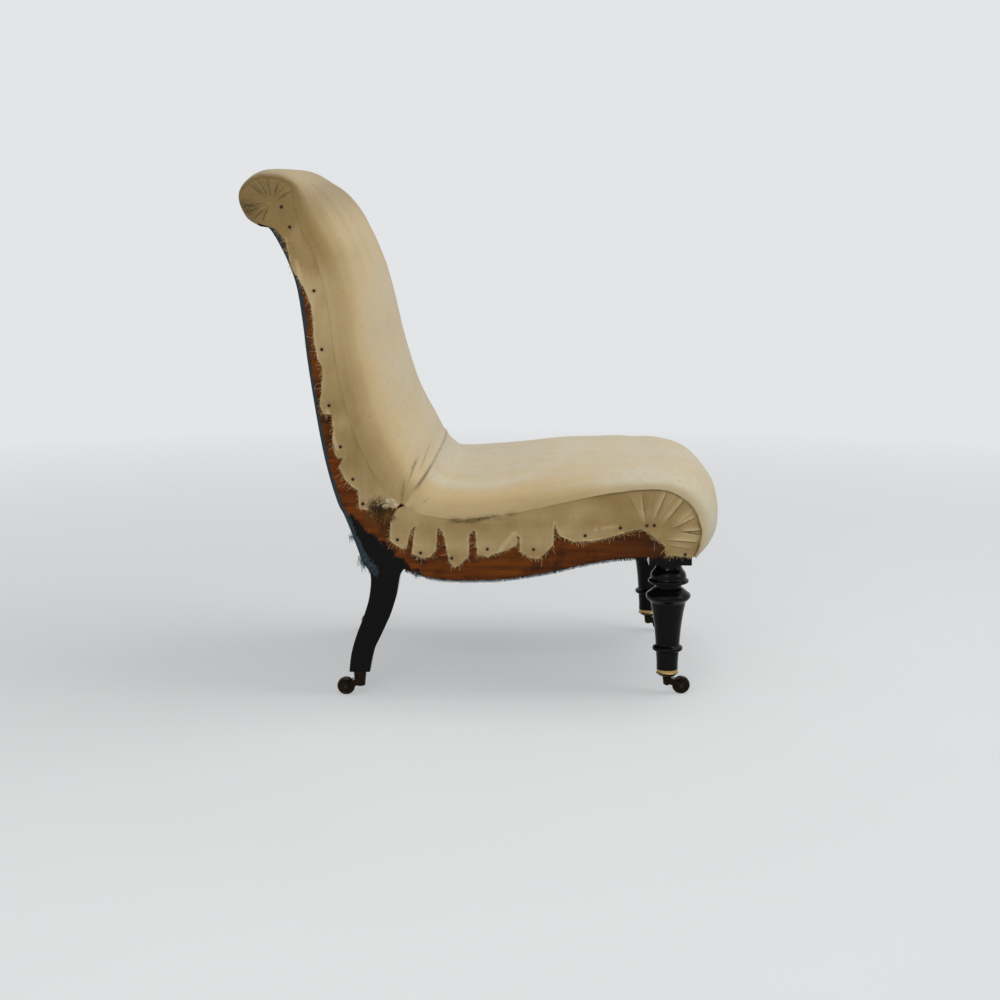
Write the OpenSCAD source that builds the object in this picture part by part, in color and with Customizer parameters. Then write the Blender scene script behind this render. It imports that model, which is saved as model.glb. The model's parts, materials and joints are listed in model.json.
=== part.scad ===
// Slipper chair with a rolled seat front and a scroll back, in its calico undercover.
// The sitter faces -Y, +Z is up, and the origin is on the floor under the middle of the plan.
// Side outlines are pairs of shares: the first of chair_d along Y, the second a level.
// Level 0 is the floor, 1 is the crease between the seat and the back, 2 is the top of the back.

/* [Overall] */
// Width across the side rails
chair_w = 490; // [450:1:540]
// Depth from the front roll to the back scroll
chair_d = 741; // [710:1:790]
// Height of the crease between the seat and the back
seat_h = 381; // [370:1:400]
// Height of the back above the crease
back_h = 436; // [400:1:480]

/* [Timber frame] */
// Thickness of the side rails and back stiles
rail_t = 28; // [22:0.5:34]
// Thickness of the rails that cross the frame
cross_t = 26; // [20:0.5:30]
// Height of the rebate that takes the webbing
rebate_h = 6; // [5:0.5:8]
// Width of a square front leg block
block_w = 66; // [60:1:72]
// Radius of the rounded top corner of a front leg block
nose_r = 64; // [56:1:68]
// Largest radius of the turned front leg
turned_r = 35; // [28:0.5:38]
// Thickness of a rear leg at the frame
sabre_t = 46; // [38:1:52]
// Thickness of a rear leg at the foot
sabre_foot_t = 34; // [28:1:38]
// Radius of a dowel
dowel_r = 5; // [3:0.5:6]
// Length of a dowel
dowel_l = 40; // [24:1:44]
// Side of a triangular corner block
corner_w = 30; // [20:1:34]
// Height of a corner block
corner_h = 44; // [30:1:56]

/* [Upholstery] */
// Radius of the front roll at the middle of the seat
roll_r = 112; // [104:1:118]
// Radius of the back scroll at the middle
scroll_r = 47; // [44:0.5:52]
// How far the padding swells past the frame at each side
side_bulge = 4; // [1:0.5:10]
// Thickness of the calico
cover_t = 1.2; // [0.8:0.1:2]
// Thickness of the hessian
hessian_t = 1.2; // [0.8:0.1:2]
// Thickness of the linings
lining_t = 1; // [0.6:0.1:2]
// Width of a webbing strap
strap_w = 50; // [40:1:56]
// Thickness of a webbing strap
strap_t = 1.6; // [1:0.1:1.8]
// Clearance between layers that lie on each other
layer_gap = 0.3; // [0.2:0.05:0.5]

/* [Seat springs] */
// Radius of the end coils
coil_r = 38; // [30:1:42]
// Radius of the waist coil
waist_r = 24; // [16:1:28]
// Radius of the wire
wire_r = 1.9; // [1.2:0.1:2.2]
// Number of coils
coils = 4; // [3:1:4]

/* [Castors] */
// Diameter of a wheel
wheel_d = 28; // [24:1:30]
// Width of a wheel
wheel_w = 11; // [9:0.5:13]
// Distance from the pin to the axle
trail = 22; // [21:0.5:26]
// Height of a leg's foot above the floor
castor_h = 40; // [38:0.5:46]
// Outer radius of a front castor's cup
cup_r = 16.7; // [15:0.1:19]
// Height of a front castor's cup
cup_h = 11; // [8:0.5:12]
// Wall of a cup and thickness of its floor
cup_wall = 2.4; // [1.6:0.1:3]
// Radius of a castor's pin
pin_r = 3; // [2.4:0.1:3.6]
// Radius of an axle
axle_r = 2; // [1.4:0.1:2.4]
// Running clearance of a pin or axle in its bore
run_gap = 0.07; // [0.03:0.01:0.1]

/* [Hidden] */

$fn = 64;
half_w = chair_w / 2;
left = 1;
right = -1;
// Overrun of a cut past the solid
cut = 2;

// Crown and edge of the padding along the seat, from the crease to the front roll
seat_edge_shares = [[0.163, 0.803], [0.144, 0.78], [0.119, 0.761], [0.037, 0.745],
                    [-0.067, 0.772], [-0.16, 0.811], [-0.242, 0.845], [-0.3, 0.861]];
seat_crown_shares = [[0.094, 1], [0.07, 0.952], [0.047, 0.933], [-0.032, 0.943],
                     [-0.11, 0.956], [-0.177, 0.965], [-0.252, 0.966], [-0.306, 0.964]];
// Crown and edge of the padding down the back, from the scroll to the crease
back_edge_shares = [[0.377, 1.858], [0.365, 1.782], [0.343, 1.709], [0.326, 1.617],
                    [0.312, 1.502], [0.303, 1.365], [0.289, 1.227], [0.268, 1.101],
                    [0.238, 0.976], [0.2, 0.866], [0.164, 0.803]];
back_crown_shares = [[0.314, 1.915], [0.281, 1.852], [0.257, 1.779], [0.239, 1.708],
                     [0.221, 1.622], [0.203, 1.514], [0.188, 1.404], [0.17, 1.298],
                     [0.147, 1.179], [0.116, 1.08], [0.095, 1]];
// Lower edge of a side rail, from the post to the front leg
rail_bottom_shares = [[0.165, 0.538], [0.153, 0.533], [0.105, 0.505], [0.05, 0.496],
                      [-0.033, 0.499], [-0.102, 0.517], [-0.157, 0.538], [-0.209, 0.562],
                      [-0.272, 0.583], [-0.345, 0.59], [-0.39, 0.588], [-0.46, 0.586]];
// Rear edge of a stile, from the scroll down to the post
stile_rear_shares = [[0.441, 1.807], [0.427, 1.787], [0.411, 1.742], [0.392, 1.674],
                     [0.376, 1.589], [0.365, 1.463], [0.358, 1.349], [0.346, 1.203],
                     [0.33, 1.037], [0.314, 0.906], [0.298, 0.806], [0.288, 0.769]];
// Rear and front edges of a sabre leg, the first down and the second up
leg_rear_shares = [[0.288, 0.769], [0.277, 0.717], [0.26, 0.627], [0.25, 0.567],
                   [0.235, 0.514], [0.238, 0.425], [0.25, 0.344], [0.265, 0.268],
                   [0.276, 0.198], [0.281, 0.139], [0.283, 0.085]];
leg_front_shares = [[0.241, 0.085], [0.234, 0.16], [0.227, 0.21], [0.216, 0.255],
                    [0.203, 0.31], [0.194, 0.349], [0.186, 0.396], [0.18, 0.438],
                    [0.173, 0.514], [0.165, 0.538]];
post_front_share = 0.165;
post_top_share = 0.769;
rear_castor_share = 0.262;
front_leg_share = -0.39;
scroll_centre_shares = [0.437, 1.888];
// Bottom of the leg block, and of the rails that cross the frame
block_bottom_share = 0.556;
rear_rail_top_share = 0.735;
rear_rail_y_share = 0.2;
stuffing_rail_shares = [0.84, 1];

// Torn lower hem of the calico on a side rail, from the front leg back to the crease
seat_hem_shares = [[-0.436, 0.59], [-0.38, 0.6], [-0.377, 0.635], [-0.37, 0.65],
                   [-0.351, 0.68], [-0.331, 0.706], [-0.314, 0.703], [-0.281, 0.684],
                   [-0.229, 0.659], [-0.188, 0.654], [-0.159, 0.679], [-0.148, 0.733],
                   [-0.147, 0.69], [-0.146, 0.643], [-0.114, 0.582], [-0.076, 0.615],
                   [-0.076, 0.671], [-0.071, 0.681], [-0.07, 0.643], [-0.024, 0.605],
                   [-0.01, 0.59], [0.011, 0.6], [0.016, 0.699], [0.023, 0.699],
                   [0.029, 0.681], [0.03, 0.595], [0.059, 0.546], [0.071, 0.576],
                   [0.083, 0.694], [0.09, 0.709], [0.095, 0.709], [0.098, 0.619],
                   [0.126, 0.585], [0.148, 0.604], [0.142, 0.703], [0.134, 0.727],
                   [0.15, 0.703], [0.161, 0.623], [0.194, 0.661], [0.19, 0.75]];
// Torn rear hem of the calico on a stile, from the knee up to the scroll
back_hem_shares = [[0.18, 0.79], [0.192, 0.795], [0.209, 0.811], [0.232, 0.777],
                   [0.257, 0.789], [0.258, 0.864], [0.271, 0.878], [0.285, 0.908],
                   [0.298, 0.96], [0.285, 0.998], [0.299, 0.992], [0.307, 1.016],
                   [0.31, 1.058], [0.308, 1.094], [0.311, 1.139], [0.305, 1.144],
                   [0.316, 1.15], [0.327, 1.151], [0.335, 1.181], [0.333, 1.2],
                   [0.33, 1.252], [0.328, 1.311], [0.337, 1.339], [0.345, 1.408],
                   [0.346, 1.47], [0.35, 1.529], [0.361, 1.58], [0.377, 1.628],
                   [0.385, 1.649], [0.391, 1.677], [0.395, 1.714], [0.398, 1.752],
                   [0.406, 1.766], [0.42, 1.79]];
seat_tack_shares = [[0.178, 0.661], [0.13, 0.607], [0.065, 0.585], [-0.009, 0.623],
                    [-0.105, 0.622], [-0.212, 0.679], [-0.242, 0.708], [-0.285, 0.711],
                    [-0.34, 0.721], [-0.355, 0.721], [-0.42, 0.602]];
back_tack_shares = [[0.406, 1.864], [0.39, 1.796], [0.343, 1.578], [0.329, 1.375],
                    [0.316, 1.18], [0.294, 1.034], [0.269, 0.908], [0.249, 0.808]];

// Radius and height of the turned leg, as shares of turned_r and of its height
bell_shares = [[0.566, 1], [0.566, 0.975], [0.614, 0.942], [0.729, 0.909],
               [0.786, 0.884], [0.797, 0.853]];
ring_shares = [[0.814, 0.845], [0.886, 0.837], [0.906, 0.825], [0.886, 0.813], [0.814, 0.805]];
cove_shares = [[0.614, 0.795], [0.589, 0.776], [0.606, 0.764], [0.694, 0.753],
               [0.786, 0.735], [0.886, 0.72], [0.971, 0.705], [1, 0.688],
               [0.98, 0.67], [0.914, 0.654], [0.843, 0.64]];
body_shares = [[0.786, 0.626], [0.743, 0.58], [0.694, 0.531], [0.637, 0.453],
               [0.589, 0.374], [0.543, 0.258], [0.537, 0.229]];
bead_shares = [[0.58, 0.222], [0.663, 0.212], [0.68, 0.197], [0.663, 0.182], [0.58, 0.172]];
ankle_shares = [[0.514, 0.163], [0.509, 0.143], [0.483, 0.072], [0.477, 0]];

// Padding: how square its section is, and how far its edge stands off the frame
squareness = 2.4;
seat_lift = layer_gap * 2 + hessian_t + cover_t;
back_lift = layer_gap * 3 + strap_t + hessian_t + cover_t;
hem_lap = 2;
roll_drop = 4;
roll_angles = [90, 112, 134, 156, 178, 195, 210];
roll_edge_shares = [1.035, 1.07, 1.12, 1.17, 1.22, 1.22, 1.22];
roll_crown_shares = [0.89, 0.965, 1.07, 1.1, 1.04, 0.93, 0.77];
scroll_angles = [-70, -40, 0, 30, 70, 110, 130, 154];
scroll_edge_shares = [0.73, 0.73, 0.79, 0.79, 0.73, 0.73, 0.8, 0.91];
scroll_crown_shares = [0.96, 0.98, 1, 1.02, 1.04, 1.06, 1.22, 1.46];

// A point at its place, from shares
function level(share) = share <= 1 ? share * seat_h : seat_h + (share - 1) * back_h;
function place(shares) = [shares[0] * chair_d, level(shares[1])];
function places(list) = [for (shares = list) place(shares)];
function polar(radius, angle) = [radius * cos(angle), radius * sin(angle)];
function flip(list) = [for (i = [len(list) - 1 : -1 : 0]) list[i]];
function unit(v) = v / norm(v);
function blend(a, b, share) = a + (b - a) * share;

// A smooth curve through points
function bend(a, b, c, d, t) =
    (b * 2 + (c - a) * t + (a * 2 - b * 5 + c * 4 - d) * t * t
     + (b * 3 - a - c * 3 + d) * t * t * t) / 2;
function smooth(p, steps) = [
    for (i = [0 : len(p) - 2]) for (k = [0 : steps - 1])
        bend(p[max(i - 1, 0)], p[i], p[i + 1], p[min(i + 2, len(p) - 1)], k / steps),
    p[len(p) - 1]];

front_leg_y = front_leg_share * chair_d;
front_leg_x = half_w - block_w / 2;
rear_leg_x = half_w - sabre_t / 2;
rear_castor_y = rear_castor_share * chair_d;
block_front = front_leg_y - block_w / 2;
block_back = front_leg_y + block_w / 2;
block_bottom = level(block_bottom_share);
post_front = post_front_share * chair_d;
post_top = level(post_top_share);

// Axes of the front roll and of the back scroll
roll_axis = [block_front + nose_r, seat_h - roll_drop - roll_r];
scroll_axis = place(scroll_centre_shares);

// Edge and crown of the padding at each station, smoothed
function rolled(axis, radius, shares, angles) =
    [for (i = [0 : len(angles) - 1]) axis + polar(radius * shares[i], angles[i])];
seat_edge = smooth(concat(places(seat_edge_shares),
    rolled(roll_axis, nose_r, roll_edge_shares, roll_angles)), 2);
seat_crown = smooth(concat(places(seat_crown_shares),
    rolled(roll_axis, roll_r, roll_crown_shares, roll_angles)), 2);
back_edge = smooth(concat(rolled(scroll_axis, scroll_r, scroll_edge_shares, scroll_angles),
    places(back_edge_shares)), 2);
back_crown = smooth(concat(rolled(scroll_axis, scroll_r, scroll_crown_shares, scroll_angles),
    places(back_crown_shares)), 2);

// Paths at a height over the timber, the seat's over the nose of the front legs
function rise_from(edge, crown, distance) = edge + unit(crown - edge) * distance;
function nose_at(angle) = roll_axis
    + polar(angle > 180 ? -nose_r / cos(angle) : nose_r, angle);
seat_flat_count = len(seat_edge_shares) * 2;
function roll_angle(i) = let (k = (i - seat_flat_count) / 2)
    (roll_angles[floor(k)] + roll_angles[ceil(k)]) / 2;
function seat_layer(height) = [for (i = [0 : len(seat_edge) - 1])
    i < seat_flat_count ? rise_from(seat_edge[i], seat_crown[i], height - seat_lift)
    : nose_at(roll_angle(i)) + polar(height, roll_angle(i))];
function back_layer(height) = [for (i = [0 : len(back_edge) - 1])
    rise_from(back_edge[i], back_crown[i], height - back_lift)];
seat_frame = seat_layer(0);
back_frame = back_layer(0);
rail_bottom = smooth(places(rail_bottom_shares), 3);
stile_rear = smooth(places(stile_rear_shares), 2);
function seat_frame_z(y) = lookup(y, seat_frame);
function rail_bottom_z(y) = lookup(y, rail_bottom);

// The left half, or its mirror image on the right
module on_side(side)
    if (side == left) children();
    else mirror([1, 0, 0]) children();

// A side outline in Y and Z, drawn out along X
module across(x_from, x_to)
    translate([x_from, 0, 0])
        rotate([90, 0, 90])
            linear_extrude(x_to - x_from)
                children();

module band(path_a, path_b) polygon(concat(path_a, flip(path_b)));
module window(y_from, y_to, z_from, z_to)
    translate([y_from, z_from])
        square([y_to - y_from, z_to - z_from]);
function moved(path, step) = [for (p = path) p + step];

// One station of the padding, from the left edge over the crown to the right edge
function wide(inset) = half_w + cover_t + layer_gap - inset;
function station(edge, crown, inset, columns) =
    let (run = crown - edge, reach = (norm(run) - inset) / norm(run))
    [for (j = [0 : columns - 1])
        let (angle = 180 * j / (columns - 1),
             up = pow(sin(angle), 2 / squareness),
             out = (wide(inset) + side_bulge * pow(sin(180 * up), 2))
                 * sign(cos(angle)) * pow(abs(cos(angle)), 2 / squareness),
             spot = edge + run * (up * reach))
        [out, spot[0], spot[1]]];
function skin(edges, crowns, inset, columns) =
    [for (i = [0 : len(edges) - 1]) station(edges[i], crowns[i], inset, columns)];
// The underside of the padding, on the frame
function bed(path, inset, columns) = [for (p = path)
    [for (j = [0 : columns - 1])
        let (angle = 180 * j / (columns - 1))
        [wide(inset) * sign(cos(angle)) * pow(abs(cos(angle)), 2 / squareness), p[0], p[1]]]];

// A closed solid between an outer and an inner grid of points
function quad(a, b, c, d) = [[a, b, c], [a, c, d]];
module between(outer, inner) {
    rows = len(outer);
    columns = len(outer[0]);
    under = rows * columns;
    function at(i, j) = i * columns + j;
    points = concat([for (row = outer) each row], [for (row = inner) each row]);
    faces = concat(
        [for (i = [0 : rows - 2]) for (j = [0 : columns - 2])
            each quad(at(i, j), at(i + 1, j), at(i + 1, j + 1), at(i, j + 1))],
        [for (i = [0 : rows - 2]) for (j = [0 : columns - 2])
            each quad(under + at(i, j), under + at(i, j + 1),
                      under + at(i + 1, j + 1), under + at(i + 1, j))],
        [for (i = [0 : rows - 2])
            each quad(at(i, 0), under + at(i, 0), under + at(i + 1, 0), at(i + 1, 0))],
        [for (i = [0 : rows - 2])
            each quad(at(i + 1, columns - 1), under + at(i + 1, columns - 1),
                      under + at(i, columns - 1), at(i, columns - 1))],
        [for (j = [0 : columns - 2])
            each quad(at(0, j + 1), under + at(0, j + 1), under + at(0, j), at(0, j))],
        [for (j = [0 : columns - 2])
            each quad(at(rows - 1, j), under + at(rows - 1, j),
                      under + at(rows - 1, j + 1), at(rows - 1, j + 1))]);
    polyhedron(points = points, faces = faces, convexity = 8);
}

// Joints of the frame, each held by dowels half in one piece and half in the other
dowel_fit = 0.05;
side_mid = half_w - rail_t / 2;
front_rail_y = block_front + cross_t / 2;
front_rail_bottom = rail_bottom_z(front_rail_y) + rebate_h;
rear_rail_y = rear_rail_y_share * chair_d + cross_t / 2;
rear_rail_bottom = rail_bottom[0][1] + rebate_h;
rear_rail_top = level(rear_rail_top_share);
stuffing_rail_path = [for (p = back_frame)
    if (p[1] > level(stuffing_rail_shares[0]) && p[1] < level(stuffing_rail_shares[1])) p];
stuffing_dowel = stuffing_rail_path[1] + [cross_t / 2, 0];
crest_dowel_angles = [-20, 110];
crest_dowel_reach = dowel_r * 2.8;
block_dowel_shares = [0.66, 0.78];
post_dowel_shares = [0.59, 0.7];
front_rail_top = roll_axis[1] + sqrt(pow(nose_r, 2) - pow(roll_axis[0] - front_rail_y, 2));
front_dowels = [front_rail_bottom + dowel_r * 4.4, front_rail_top - dowel_r * 3];
rear_dowel_shares = [0.6, 0.69];
foot_dowel_shares = [0.212, 0.255];
module long_dowel(y, share, fit)
    translate([side_mid, y, level(share)])
        rotate([90, 0, 0])
            cylinder(h = dowel_l, r = dowel_r + fit, center = true);
module side_dowels(fit) {
    for (share = block_dowel_shares) long_dowel(block_back, share, fit);
    for (share = post_dowel_shares) long_dowel(post_front, share, fit);
}
module foot_dowels(fit)
    for (share = foot_dowel_shares)
        translate([side_mid, share * chair_d, post_top])
            cylinder(h = dowel_l / 2, r = dowel_r + fit, center = true);
module cross_dowel(x, spot, fit)
    translate([x, spot[0], spot[1]])
        rotate([0, 90, 0])
            cylinder(h = dowel_l, r = dowel_r + fit, center = true);
module cross_dowels(fit) {
    for (height = front_dowels)
        cross_dowel(half_w - block_w, [front_rail_y, height], fit);
    for (share = rear_dowel_shares)
        cross_dowel(half_w - sabre_t, [rear_rail_y, level(share)], fit);
    cross_dowel(half_w - rail_t, stuffing_dowel, fit);
    for (angle = crest_dowel_angles)
        cross_dowel(half_w - rail_t, scroll_axis + polar(crest_dowel_reach, angle), fit);
}
module dowel_bores() {
    side_dowels(dowel_fit);
    foot_dowels(dowel_fit);
    cross_dowels(dowel_fit);
}
module frame_dowels()
    color("burlywood")
        for (side = [left, right]) on_side(side) {
            side_dowels(0);
            foot_dowels(0);
            cross_dowels(0);
        }

// Timber under the path of the frame's top edge
module under_seat_path()
    polygon(concat([[chair_d, seat_frame[0][1]]], seat_frame,
                   [[roll_axis[0] - nose_r, 0], [chair_d, 0]]));
module rail_outline(raise)
    intersection() {
        polygon(concat(moved(rail_bottom, [0, raise]),
                       [[-chair_d, seat_h], [rail_bottom[0][0], seat_h]]));
        under_seat_path();
        window(block_back, post_front, 0, seat_h);
    }
module side_rail(side)
    color("chocolate")
        on_side(side)
            difference() {
                union() {
                    across(half_w - rail_t / 2, half_w) rail_outline(0);
                    across(half_w - rail_t, half_w - rail_t / 2) rail_outline(rebate_h);
                }
                dowel_bores();
            }

// Front leg: a square block in the corner of the frame over a turned baluster
turned_h = block_bottom - castor_h;
function turned(shares) =
    [for (s = smooth(shares, 3)) [s[0] * turned_r, castor_h + s[1] * turned_h]];
spigot_r = cup_r - cup_wall;
cup_bottom = castor_h - cup_h;
spigot_bottom = cup_bottom + cup_wall;
pin_top = castor_h + cup_h * 3;
pin_fit = 0.05;
module front_leg(side)
    color("#15120f")
        on_side(side)
            difference() {
                union() {
                    across(half_w - block_w, half_w)
                        intersection() {
                            under_seat_path();
                            window(block_front, block_back, block_bottom, seat_h);
                        }
                    translate([front_leg_x, front_leg_y, 0])
                        rotate_extrude()
                            polygon(concat(
                                [[0, block_bottom + cut],
                                 [bell_shares[0][0] * turned_r, block_bottom + cut]],
                                turned(bell_shares), turned(ring_shares), turned(cove_shares),
                                turned(body_shares), turned(bead_shares), turned(ankle_shares),
                                [[spigot_r, castor_h], [spigot_r, spigot_bottom],
                                 [0, spigot_bottom]]));
                }
                dowel_bores();
                translate([front_leg_x, front_leg_y, 0])
                    cylinder(h = pin_top, r = pin_r + pin_fit);
            }

// Rear leg: a sabre leg under the post that joins the side rail and the stile
module rear_leg(side) {
    inner = half_w - sabre_t;
    taper = (sabre_t - sabre_foot_t) / 2;
    color("#15120f")
        on_side(side)
            difference() {
                intersection() {
                    across(inner, half_w)
                        intersection() {
                            polygon(concat(smooth(places(leg_rear_shares), 4),
                                           smooth(places(leg_front_shares), 4),
                                           [[post_front, post_top]]));
                            window(0, chair_d, castor_h, seat_h);
                        }
                    rotate([90, 0, 0])
                        linear_extrude(chair_d, center = true)
                            polygon([[inner, seat_h], [inner, block_bottom],
                                     [inner + taper, castor_h], [half_w - taper, castor_h],
                                     [half_w, block_bottom], [half_w, seat_h]]);
                }
                dowel_bores();
                translate([rear_leg_x, rear_castor_y, 0])
                    cylinder(h = pin_top, r = pin_r + pin_fit);
            }
}

module back_stile(side)
    color("chocolate")
        on_side(side)
            difference() {
                across(half_w - rail_t, half_w)
                    polygon(concat(back_frame, [[post_front, post_top]], flip(stile_rear)));
                dowel_bores();
            }

// Rails that cross the frame, each drawn as one half and its mirror image
module cross_rail(inset)
    color("peru")
        difference() {
            across(inset - half_w, half_w - inset) children();
            for (side = [left, right]) on_side(side) dowel_bores();
        }
module front_rail()
    cross_rail(block_w)
        intersection() {
            under_seat_path();
            window(block_front, block_front + cross_t, front_rail_bottom, seat_h);
        }
module rear_rail()
    cross_rail(sabre_t)
        window(rear_rail_y - cross_t / 2, rear_rail_y + cross_t / 2,
               rear_rail_bottom, rear_rail_top);
module stuffing_rail()
    cross_rail(rail_t)
        band(stuffing_rail_path, moved(stuffing_rail_path, [cross_t, 0]));
module crest_rail()
    cross_rail(rail_t)
        polygon([for (i = [0 : len(scroll_angles) * 2 - 2]) back_frame[i]]);

// Glued blocks behind the corners of the seat frame, with a screw each way
front_corner = [half_w - block_w, block_front + cross_t];
rear_corner = [half_w - sabre_t, rear_rail_y - cross_t / 2];
corner_bottom = front_rail_bottom + rebate_h;
screw_r = 2;
screw_head_r = 4;
screw_head_h = 2.4;
screw_l = 30;
// Past the ends of the dowels in the rail
screw_reach = dowel_l / 2 + screw_r * 1.2;
leg_screw_share = 0.25;
rail_screw_share = 0.62;
module corners()
    for (side = [left, right]) on_side(side) {
        translate([front_corner[0], front_corner[1], corner_bottom])
            children();
        translate([rear_corner[0], rear_corner[1], rear_rail_bottom + rebate_h])
            mirror([0, 1, 0]) children();
    }
module corner_blocks()
    color("peru")
        corners()
            linear_extrude(corner_h)
                polygon([[0, 0], [-corner_w, 0], [0, corner_w]]);
module block_screws()
    color("silver")
        corners()
            for (way = [[leg_screw_share, 90, corner_w - screw_reach, screw_reach],
                        [rail_screw_share, 0, screw_reach, corner_w - screw_reach]])
                translate([-way[2], way[3], corner_h * way[0]])
                    rotate([90, 0, way[1]]) {
                        cylinder(h = screw_l, r = screw_r);
                        cylinder(h = screw_head_h, r1 = screw_head_r, r2 = screw_r);
                    }

// Interlaced straps in the rebate: each passes over one and under the next
strap_count = 5;
strap_pitch = (half_w - block_w - strap_w / 2 - layer_gap) * 2 / (strap_count - 1);
first_strap_share = -0.29;
strap_step_share = 0.1;
weave = (strap_t + layer_gap) / 2;
web_depth = rebate_h * 0.42;
function strap_x(i) = (i - (strap_count - 1) / 2) * strap_pitch;
function strap_y(j) = (first_strap_share + strap_step_share * j) * chair_d;
web_knots = [for (j = [0 : strap_count - 1], end = [-1, 1])
    let (y = strap_y(j) + end * strap_w / 2) [y, rail_bottom_z(y) + web_depth]];
function web_z(y) = lookup(y, web_knots);
function over(i, j) = (i + j) % 2 == 0 ? 1 : -1;
function long_strap(i) = concat(
    [[block_front + cross_t / 4, front_rail_bottom - strap_t / 2 - layer_gap]],
    [for (j = [0 : strap_count - 1], end = [-1, 1])
        let (y = strap_y(j) + end * strap_w / 2) [y, web_z(y) + weave * over(i, j)]],
    [[post_front, rail_bottom[0][1] + web_depth],
     [rear_rail_y + cross_t / 4, rear_rail_bottom - strap_t / 2 - layer_gap]]);
function cross_strap(j) = concat(
    [[-half_w + rail_t / 2 + layer_gap, 0]],
    [for (i = [0 : strap_count - 1], end = [-1, 1])
        [strap_x(i) + end * strap_w / 2, -weave * over(i, j)]],
    [[half_w - rail_t / 2 - layer_gap, 0]]);
function strap_face(steps, y, height) = [for (s = steps)
    [for (end = [1, -1])
        [s[0], y + end * strap_w / 2, web_z(y + end * strap_w / 2) + s[1] + height]]];
module seat_webbing()
    color("tan") {
        for (i = [0 : strap_count - 1])
            across(strap_x(i) - strap_w / 2, strap_x(i) + strap_w / 2)
                band(moved(long_strap(i), [0, strap_t / 2]),
                     moved(long_strap(i), [0, -strap_t / 2]));
        for (j = [0 : strap_count - 1])
            between(strap_face(cross_strap(j), strap_y(j), strap_t / 2),
                    strap_face(cross_strap(j), strap_y(j), -strap_t / 2));
    }

// Waisted springs that lean with the webbing below and the hessian above
spring_xs = [-1.4, 0, 1.4] * strap_pitch;
spring_y_shares = [-0.215, -0.07, 0.06];
ring_angle = 45;
coil_ring_count = 360 / ring_angle;
cord_r = 1.3;
spring_foot = weave + strap_t / 2 + layer_gap + wire_r;
spring_head = layer_gap + cord_r * 2 + wire_r;
spring_ease_share = 0.095;
function spring_rise(t) = t - sin(360 * t) * spring_ease_share;
function spring_at(x, y, t) =
    let (angle = 360 * coils * t,
         radius = blend(waist_r, coil_r, pow(abs(t * 2 - 1), 1.4)),
         wire_y = y + radius * sin(angle))
    [x + radius * cos(angle), wire_y,
     blend(web_z(wire_y) + spring_foot, seat_frame_z(wire_y) - spring_head, spring_rise(t))];
function spring_line(x, y) =
    [for (k = [0 : coils * coil_ring_count]) spring_at(x, y, k / (coils * coil_ring_count))];
module spring(x, y) {
    line = spring_line(x, y);
    tube([for (k = [0 : len(line) - 1])
        let (angle = 360 * k / coil_ring_count)
        [for (b = [0 : 60 : 300])
            line[k] + wire_r * [cos(b) * cos(angle), cos(b) * sin(angle), sin(b)]]]);
}
// A tube through rings of points, closed at both ends
module tube(rings) {
    sides = len(rings[0]);
    last = (len(rings) - 1) * sides;
    polyhedron(
        points = [for (ring = rings) each ring],
        faces = concat(
            [for (j = [1 : sides - 2]) [0, j + 1, j]],
            [for (i = [0 : sides : last - sides]) for (j = [0 : sides - 1])
                each quad(i + j, i + (j + 1) % sides, i + sides + (j + 1) % sides, i + sides + j)],
            [for (j = [1 : sides - 2]) [last, last + j, last + j + 1]]),
        convexity = 12);
}
function least_gap(line) = min([for (a = [0 : len(line) - 1 - coil_ring_count + 2])
    for (b = [a + coil_ring_count - 2 : len(line) - 1]) norm(line[a] - line[b])]) - wire_r * 2;
module seat_springs()
    color("dimgray")
        for (x = spring_xs, share = spring_y_shares)
            spring(x, share * chair_d);

// Cord that ties the tops of the springs to the frame
cord_path = [for (p = seat_frame)
    if (p[0] > block_front + cross_t && p[0] < spring_y_shares[2] * chair_d + coil_r)
        p - [0, cord_r]];
rear_cord_end = [rear_rail_y - cross_t / 2, rear_rail_top - cord_r];
front_cord_end = [block_front + cross_t, seat_frame_z(block_front + cross_t) - cord_r];
long_cord = concat([rear_cord_end], cord_path, [front_cord_end]);
module lashing_cord()
    color("khaki") {
        for (x = spring_xs)
            across(x - cord_r, x + cord_r)
                band(moved(long_cord, [0, cord_r]), moved(long_cord, [0, -cord_r]));
        for (share = spring_y_shares)
            translate([0, share * chair_d, seat_frame_z(share * chair_d) - cord_r])
                rotate([0, 90, 0])
                    cylinder(h = (half_w - rail_t) * 2, r = cord_r, center = true);
    }

hessian_inset = 3;
module spring_hessian()
    color("darkkhaki")
        across(-half_w + hessian_inset, half_w - hessian_inset)
            band(seat_layer(layer_gap), seat_layer(layer_gap + hessian_t));
module back_hessian()
    color("darkkhaki")
        across(-half_w + hessian_inset, half_w - hessian_inset)
            band(back_layer(layer_gap * 2 + strap_t),
                 back_layer(layer_gap * 2 + strap_t + hessian_t));
back_strap_count = 3;
back_strap_pitch = strap_pitch * 1.5;
first_back_strap = len(scroll_angles) * 2 - 6;
module back_webbing() {
    low = level(stuffing_rail_shares[0]);
    function straight(path) = [for (i = [first_back_strap : len(path) - 1])
        if (back_frame[i][1] > low) path[i]];
    color("tan")
        for (i = [0 : back_strap_count - 1])
            let (x = (i - (back_strap_count - 1) / 2) * back_strap_pitch)
                across(x - strap_w / 2, x + strap_w / 2)
                    band(straight(back_layer(layer_gap)),
                         straight(back_layer(layer_gap + strap_t)));
}

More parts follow.
